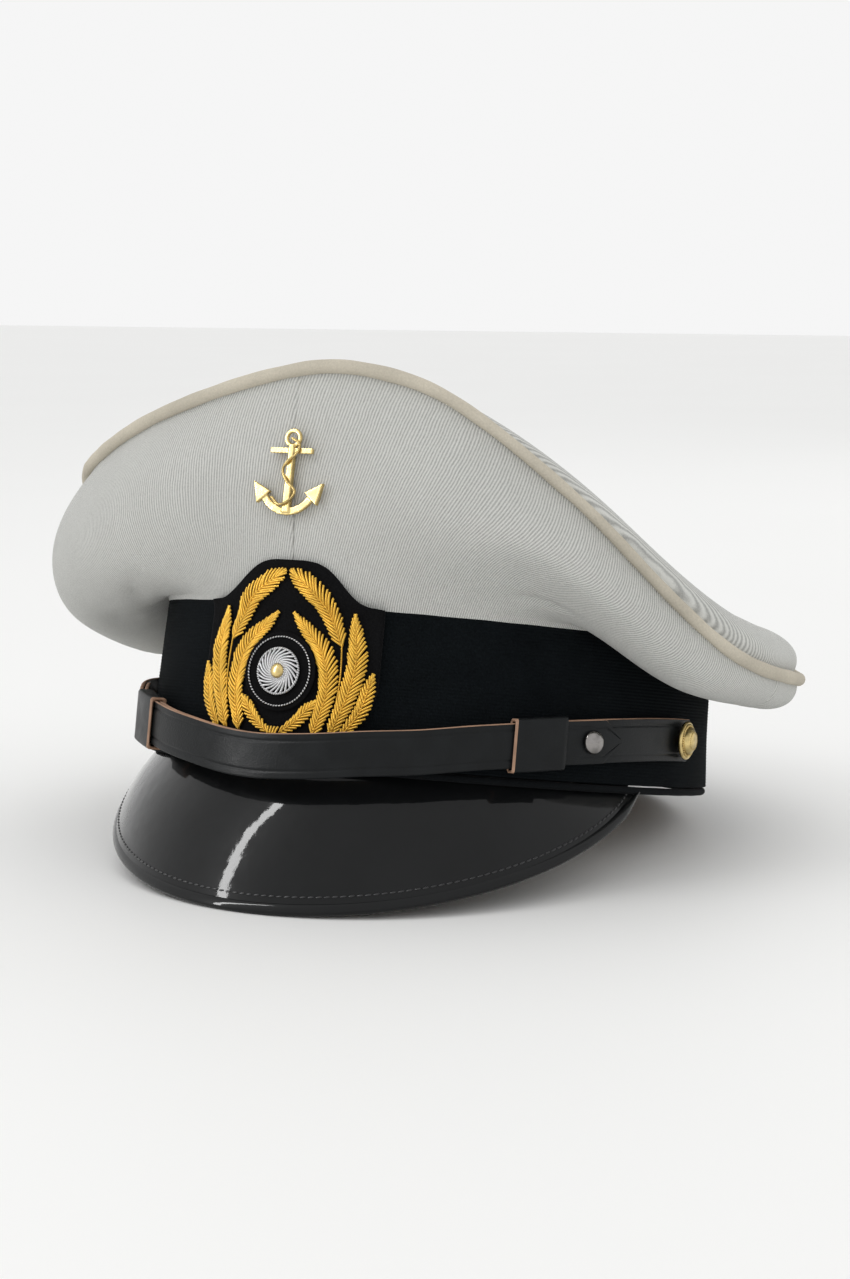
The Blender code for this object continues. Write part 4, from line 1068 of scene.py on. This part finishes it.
def make_keeper(name, node, start, end):
    """A leather sleeve round both halves, with its front rim left raw."""
    corner = KEEPER_CORNER
    deep = STRAP_LAYER + STRAP_LEATHER
    ring = []
    for extra in (KEEPER_SLACK, KEEPER_SLACK + KEEPER_WALL):
        half, low, high = STRAP_WIDTH / 2 + extra - corner, -extra + corner, deep + extra - corner
        loop = arc((half, high), corner, 0, 90, 6) + arc((-half, high), corner, 90, 180, 6)
        loop += arc((-half, low), corner, 180, 270, 6) + arc((half, low), corner, 270, 360, 6)
        ring.append(np.array(loop))
    inner, outer = ring
    way = 1 if end > start else -1
    steps = np.concatenate([[start, start + 0.25 * way], np.linspace(start, end, 15)[1:]])
    sections = []
    for k in range(len(inner)):
        outside = [strap_point(d, outer[k][1], outer[k][0]) for d in steps]
        inside = [strap_point(d, inner[k][1], inner[k][0]) for d in steps[::-1]]
        lips = [
            strap_point(d, (outer[k][1] + inner[k][1]) / 2, (outer[k][0] + inner[k][0]) / 2)
            for d in (end + 0.2 * way, start - 0.2 * way)
        ]
        sections.append(outside + [lips[0]] + inside + [lips[1]])
    count = len(steps)
    marks = [1] + [0] * (2 * count - 1) + [1, 1]
    obj = swept(name, np.array(sections), [STRAP_BLACK, RAW_EDGE], column_marks=marks, sharp=60.0)
    finish_piece(obj, "chin_strap", [node])


def strap_place(degrees):
    angle = math.radians(degrees)
    out = Vector((HEAD_Y * math.sin(angle), -HEAD_X * math.cos(angle), 0.0)).normalized()
    turn = out.to_track_quat("Z", "Y").to_matrix().to_4x4()
    return Matrix.Translation(Vector(strap_point(degrees, 0.0, 0.0))) @ turn


def make_rivet(side):
    """The left one shows its dome. The right one ends under the strap's outer half."""
    deep, gap, r = STRAP_LAYER + STRAP_LEATHER, 0.1, RIVET_RADIUS
    profile = [(0, -1.1), (1.9, -1.1), (2.2, -0.8), (2.2, -gap), (1.0, -gap)]
    if side == "right":
        profile += [(1.0, STRAP_LEATHER - 0.1), (0.9, STRAP_LEATHER), (0, STRAP_LEATHER)]
    else:
        rise = np.linspace(0, math.pi / 2, 18)
        head = [(r * math.cos(t), deep + gap + 0.55 + 1.9 * math.sin(t)) for t in rise]
        profile += [(1.0, deep + gap), (r - 0.3, deep + gap), (r - 0.05, deep + gap + 0.2)]
        profile += head[:-1] + [(0, head[-1][1])]
    obj = turned(f"strap_rivet_head_{side}", profile, strap_place(STRAP_RIVETS[side]), NICKEL)
    finish_piece(obj, "chin_strap", [f"strap_rivet_{side}"])


def make_strap():
    for half, start, end, offset in (
        ("inner", STRAP_END, STRAP_POINTS["right"], 0.0),
        ("outer", -STRAP_END, STRAP_POINTS["left"], STRAP_LAYER),
    ):
        make_strap_half(f"chin_strap_{half}_leather", f"chin_strap_{half}", start, end, offset)
    for side, (start, end) in STRAP_KEEPERS.items():
        make_keeper(f"strap_keeper_leather_{side}", f"strap_keeper_{side}", start, end)
        make_rivet(side)


def button_place(side):
    sign = 1 if side == "left" else -1
    point = Vector(head_oval(math.radians(BUTTON_ANGLE), 0.0, BUTTON_HEIGHT))
    point.x *= sign
    return Matrix.Translation(point) @ Matrix.Rotation(math.radians(90 * sign), 4, "Y")


def circle_path(radius, height, matrix, count=97):
    turn = np.linspace(0, 2 * math.pi, count)
    return moved(vec(radius * np.cos(turn), radius * np.sin(turn), height), matrix)


def make_button(side):
    """A hollow-looking domed button: rolled rim, a rope ring inside it, and a plain raised dome."""
    seat, r = 4.3, BUTTON_RADIUS
    profile = [(0, -4.5), (0.9, -4.5), (1.2, -4.2), (1.2, seat), (4.9, seat - 0.05)]
    profile += arc((r - 0.65, seat + 0.6), 0.65, -80, 100, 12)
    profile += [(4.95, seat + 1.05), (4.5, seat + 1.2)]
    rise = np.linspace(0, math.pi / 2, 14)[:-1]
    profile += [(4.4 * math.cos(t), seat + 1.35 + 2.1 * math.sin(t)) for t in rise]
    profile.append((0, seat + 3.45))
    where = button_place(side)
    shell = turned(f"button_shell_{side}", profile, where, GILT)
    out = np.array(where.to_3x3() @ Vector((0, 0, 1)))
    rope = grown(f"button_rope_{side}", [(circle_path(4.85, seat + 1.3, where), out, None)], BEADS, GILT,
                 Spacing=0.76, Length=1.25, Width=0.62, Height=0.75, Slant=0.85)
    star = grown(f"button_ring_{side}", [(circle_path(2.7, seat + 3.02, where), out, None)], BEADS, GILT,
                 Spacing=0.62, Length=0.5, Width=0.42, Height=0.42, Slant=0.0)
    obj = joined(f"side_button_gilt_{side}", [shell, rope, star])
    finish_piece(obj, "cap", [f"side_button_{side}"])


# ---------------------------------------------------------------- patch, wreath, rosette and badge


def front_point(x, z, offset):
    return head_oval(np.arcsin(np.clip(x / HEAD_X, -1, 1)), offset, z)


def patch_back(z):
    return 0.3 + 1.9 * smooth_step((z - 42) / 7)


def patch_half_width(z):
    arch_base, arch_rise = 46.0, 13.0
    arch = 18.4 * np.log(arch_rise / np.clip(z - arch_base, 1e-3, arch_rise - 1e-6)) ** (1 / 3.9)
    body = 17.0 + 12.5 * np.sin(math.pi / 2 * np.clip((z - 2.0) / 22, 0, 1))
    return np.where(z > arch_base + 0.4, np.minimum(arch, 29.5), body)


def make_patch():
    arch = 46 + 12.96 * np.sin(np.linspace(0, math.pi / 2, 40))[1:]
    z = np.concatenate([np.linspace(3, 46, 44), arch])[:, None]
    share = np.sin(np.linspace(-math.pi / 2, math.pi / 2, 65))[None, :]
    x = patch_half_width(z) * share
    rim = 0.35 * np.clip((np.abs(share) - 0.97) / 0.03, 0, 1) ** 2
    front = front_point(x, z, patch_back(z) + PATCH_THICKNESS - rim)
    back = front_point(x, z, patch_back(z) + 0 * share)
    obj = swept("wreath_patch_felt", np.concatenate([front, back[:, ::-1]], axis=1), [FELT], closed=False)
    finish_piece(obj, "cap", ["wreath_patch"])


def on_patch(points):
    """From flat (x, z, height) over the patch to its place on the front of the cap."""
    x, z, height = np.asarray(points).T
    return place(front_point(x, z, patch_back(z) + PATCH_THICKNESS + height))


def vein_path(knots, sign, height):
    flat = spline(knots, 60)
    return vec(sign * flat[:, 0], flat[:, 1], height)


def leaf_reach(half_width, count=60):
    """Strand length along a leaf: short at the stalk, widest past the middle, still full near the tip."""
    s = np.linspace(0, 1, count)
    return half_width * 1.5 * (0.30 + 0.70 * np.sin(math.pi * np.clip(0.12 + 0.80 * s, 0, 1)) ** 0.7)


def make_wreath():
    for side, sign in (("left", 1), ("right", -1)):
        for part, leaves in LEAVES.items():
            paths, veins = [], []
            for k, (knots, half_width) in enumerate(leaves):
                lift = 0.55 + 0.18 * (k % 2)
                paths.append((vein_path(knots, sign, lift), UP, leaf_reach(half_width)))
                veins.append((vein_path(knots, sign, lift + 0.55), UP, None))
            if part == "outer":
                veins.append((vein_path(STEM, sign, 1.0), UP, None))
            strands = grown(f"strands_{part}_{side}", paths, LEAF, GOLD_THREAD, on_patch,
                            Spacing=1.26, Radius=STRAND_RADIUS, Slant=0.6, Bow=0.24)
            cords = grown(f"veins_{part}_{side}", veins, BEADS, GOLD_THREAD, on_patch,
                          Spacing=0.5, Length=0.62, Width=0.5, Height=0.55, Slant=0.5)
            obj = joined(f"wreath_leaves_{part}_{side}", [strands, cords])
            finish_piece(obj, "cap", [f"wreath_{part}_{side}"])

    tie = []
    z = np.linspace(4.2, 9.0, 20)
    along = (z - 6.6) / 2.4
    for x in (-1.2, -0.4, 0.4, 1.2):
        tie.append((vec(x * (1 + 0.35 * along**2), z, 1.2 + 0.9 * np.cos(along * 1.4)), UP, None))
    obj = grown("wreath_tie", tie, BEADS, GOLD_THREAD, on_patch,
                Spacing=0.36, Length=0.7, Width=0.75, Height=0.7, Slant=0.0)
    finish_piece(obj, "cap", ["wreath_knot"])


def front_place(z, offset):
    lean = math.atan(BAND_TAPER / BAND_HEIGHT)
    where = Vector(head_oval(0.0, offset, z))
    return Matrix.Translation(where) @ Matrix.Rotation(math.radians(90) - lean, 4, "X")


def make_rosette():
    """Silver rays turned like a pinwheel round a gilt boss, inside a twisted ring and a beaded one."""
    where = front_place(ROSETTE_Z, patch_back(ROSETTE_Z) + PATCH_THICKNESS + 0.45)
    ground = [(0, 0), (11.6, 0), (11.9, 0.25), (11.6, 0.5), (0, 0.7)]
    obj = turned("rosette_felt", ground, where, FELT, sides=96)
    finish_piece(obj, "cap", ["rosette_ground"])

    def wrap(points):
        return place(moved(points, where))

    flat = Matrix.Identity(4)
    ring = [(circle_path(10.35, 0.95, flat, 181), UP, None)]
    obj = grown("rosette_beads", ring, BEADS, SILVER_THREAD, wrap,
                Spacing=0.92, Length=0.8, Width=0.46, Height=0.5, Slant=0.5)
    finish_piece(obj, "cap", ["rosette_outer_ring"])

    rays = []
    r = np.linspace(2.5, 6.5, 14)
    share = (r - 2.5) / 4.0
    for turn in round_turns(RAYS):
        sweep = turn + 0.95 * (1 - share) ** 1.3
        ray = vec(r * np.cos(sweep), r * np.sin(sweep), 1.5 + 0.5 * np.sin(share * math.pi))
        rays.append((ray, UP, None))
    petals = grown("rosette_rays", rays, BEADS, SILVER_THREAD, wrap,
                   Spacing=0.34, Length=0.66, Width=0.74, Height=0.8, Slant=0.35)
    rims = [(circle_path(6.85, 1.5, flat, 181), UP, None), (circle_path(2.45, 1.9, flat, 91), UP, None)]
    rope = grown("rosette_rope", rims, BEADS, SILVER_THREAD, wrap,
                 Spacing=0.74, Length=1.05, Width=0.55, Height=0.8, Slant=0.7)
    profile = [(0, 0.7), (6.4, 0.7), (6.5, 1.0), (6.0, 1.2), (0, 1.35)]
    pad = turned("rosette_pad", profile, where, FELT, sides=64)
    obj = joined("rosette_silver", [petals, rope, pad])
    finish_piece(obj, "cap", ["rosette_disc"])

    dome = [(2.1 * math.cos(t), 1.9 + 1.3 * math.sin(t)) for t in np.linspace(0, 1.5, 9)]
    obj = turned("rosette_boss", [(0, 1.4), (2.1, 1.4), *dome, (0, 3.2)], where, GILT, sides=40)
    finish_piece(obj, "cap", ["rosette_centre"])


def badge_place():
    share = 0.5
    while crown_side(0.0, share)[2] < BADGE_Z:
        share += 0.002
    here, above = crown_side(0.0, share), crown_side(0.0, share + 0.05)
    lean = math.atan2(above[1] - here[1], above[2] - here[2])
    return Matrix.Translation(Vector(here)) @ Matrix.Rotation(math.radians(90) - lean, 4, "X")


def make_badge():
    """The anchor's own solid, rounded as a die strikes it, with a rope laid round its shank."""
    mesh = frame["nodes"]["badge_anchor"].data.copy()
    mesh.materials.clear()
    mesh.materials.append(GILT)
    work = bmesh.new()
    work.from_mesh(mesh)
    bmesh.ops.remove_doubles(work, verts=work.verts, dist=1e-6)
    work.to_mesh(mesh)
    work.free()
    anchor = bpy.data.objects.new("anchor_struck", mesh)
    bpy.context.scene.collection.objects.link(anchor)
    remesh = anchor.modifiers.new("skin", "REMESH")
    remesh.mode = "VOXEL"
    remesh.voxel_size = 0.17 * MM
    remesh.use_smooth_shade = True
    soften = anchor.modifiers.new("soften", "SMOOTH")
    soften.factor = 0.5
    soften.iterations = 9
    graph = bpy.context.evaluated_depsgraph_get()
    anchor.data = bpy.data.meshes.new_from_object(anchor.evaluated_get(graph), depsgraph=graph)
    anchor.modifiers.clear()

    where = badge_place()
    knots = [
        (0.4, 10.4, 3.3), (2.6, 8.8, 2.7), (2.3, 6.0, 3.3), (-0.2, 3.6, 3.6), (-2.4, 1.0, 2.4),
        (-0.4, -2.2, 3.5), (2.3, -5.2, 2.4), (1.2, -8.2, 3.3), (-2.2, -9.6, 3.3), (-5.0, -7.4, 2.8),
    ]
    line = moved(spline(knots, 200), where)
    out = np.array(where.to_3x3() @ Vector((0, 0, 1)))
    rope = grown("anchor_rope", [(line, out, None)], BEADS, GILT,
                 Spacing=0.46, Length=1.15, Width=0.62, Height=0.95, Slant=0.8)
    obj = joined("badge_anchor_gilt", [anchor, rope])
    finish_piece(obj, "cap", ["badge_anchor"])


# ---------------------------------------------------------------- stage


def finish_hidden_nodes():
    """The pieces inside the cap keep their own solids."""
    for node, material in (
        ("front_stiffener", FIBRE), ("band_stiffener", FIBRE), ("badge_back_plate", STEEL),
        ("button_washer_left", STEEL), ("button_washer_right", STEEL),
    ):
        mesh = frame["nodes"][node].data
        mesh.materials.clear()
        mesh.materials.append(material)


def area_light(name, position, target, size, power, size_y=None, mirrored=False):
    light = bpy.data.lights.new(name, "AREA")
    light.shape = "RECTANGLE"
    light.size = size
    light.size_y = size_y or size
    light.energy = power
    obj = bpy.data.objects.new(name, light)
    bpy.context.scene.collection.objects.link(obj)
    obj.location = position
    obj.rotation_mode = "QUATERNION"
    obj.rotation_quaternion = (Vector(target) - Vector(position)).to_track_quat("-Z", "Y")
    obj.visible_glossy = mirrored
    return obj


def make_stage():
    mesh = bpy.data.meshes.new("floor")
    reach = 6.0
    corners = [(-reach, -reach, 0), (reach, -reach, 0), (reach, reach, 0), (-reach, reach, 0)]
    mesh.from_pydata(corners, [], [(0, 1, 2, 3)])
    floor = bpy.data.objects.new("floor", mesh)
    bpy.context.scene.collection.objects.link(floor)
    paint = Finish("pale_floor", (0.90, 0.90, 0.89), 0.6)
    paint.shade(paint.noise(300.0, 2.0), 0.98, 1.0)
    mesh.materials.append(paint.material)

    world = bpy.data.worlds.new("studio")
    bpy.context.scene.world = world
    world.use_nodes = True
    sky = world.node_tree.nodes["Background"]
    sky.inputs["Color"].default_value = (1.0, 1.0, 1.0, 1.0)
    sky.inputs["Strength"].default_value = 0.92

    target = (0.0, 0.0, 0.07)
    area_light("key", (-0.75, -0.85, 1.15), target, 0.7, 3.2)
    area_light("fill", (1.3, -0.7, 0.8), target, 1.0, 1.0)
    strip = area_light("strip", (-0.72, -0.92, 0.5), target, 0.09, 13.0, size_y=1.7, mirrored=True)
    strip.visible_diffuse = False
    area_light("back", (0.3, 1.4, 1.0), target, 1.2, 2.0)

    cam = bpy.data.cameras.new("camera")
    camera = bpy.data.objects.new("camera", cam)
    bpy.context.scene.collection.objects.link(camera)
    bpy.context.scene.camera = camera
    cam.lens = 72.0
    cam.sensor_width = 36.0
    azimuth, elevation, distance = math.radians(26.9), math.radians(8.3), 0.85
    aim = Vector(OPENING["pos_m"]) + Vector((-2.7, 0.0, 41.7)) * MM
    flat = math.cos(elevation)
    back = Vector((math.sin(azimuth) * flat, -math.cos(azimuth) * flat, math.sin(elevation)))
    camera.location = aim + distance * back
    camera.rotation_mode = "QUATERNION"
    camera.rotation_quaternion = (-back).to_track_quat("-Z", "Y")
    cam.clip_start = 0.01
    bpy.context.scene.view_settings.view_transform = "Standard"


make_crown()
make_lining()
make_sweatband()
make_bow()
make_band()
make_visor()
make_strap()
for side in ("left", "right"):
    make_button(side)
make_patch()
make_wreath()
make_rosette()
make_badge()
finish_hidden_nodes()
make_stage()
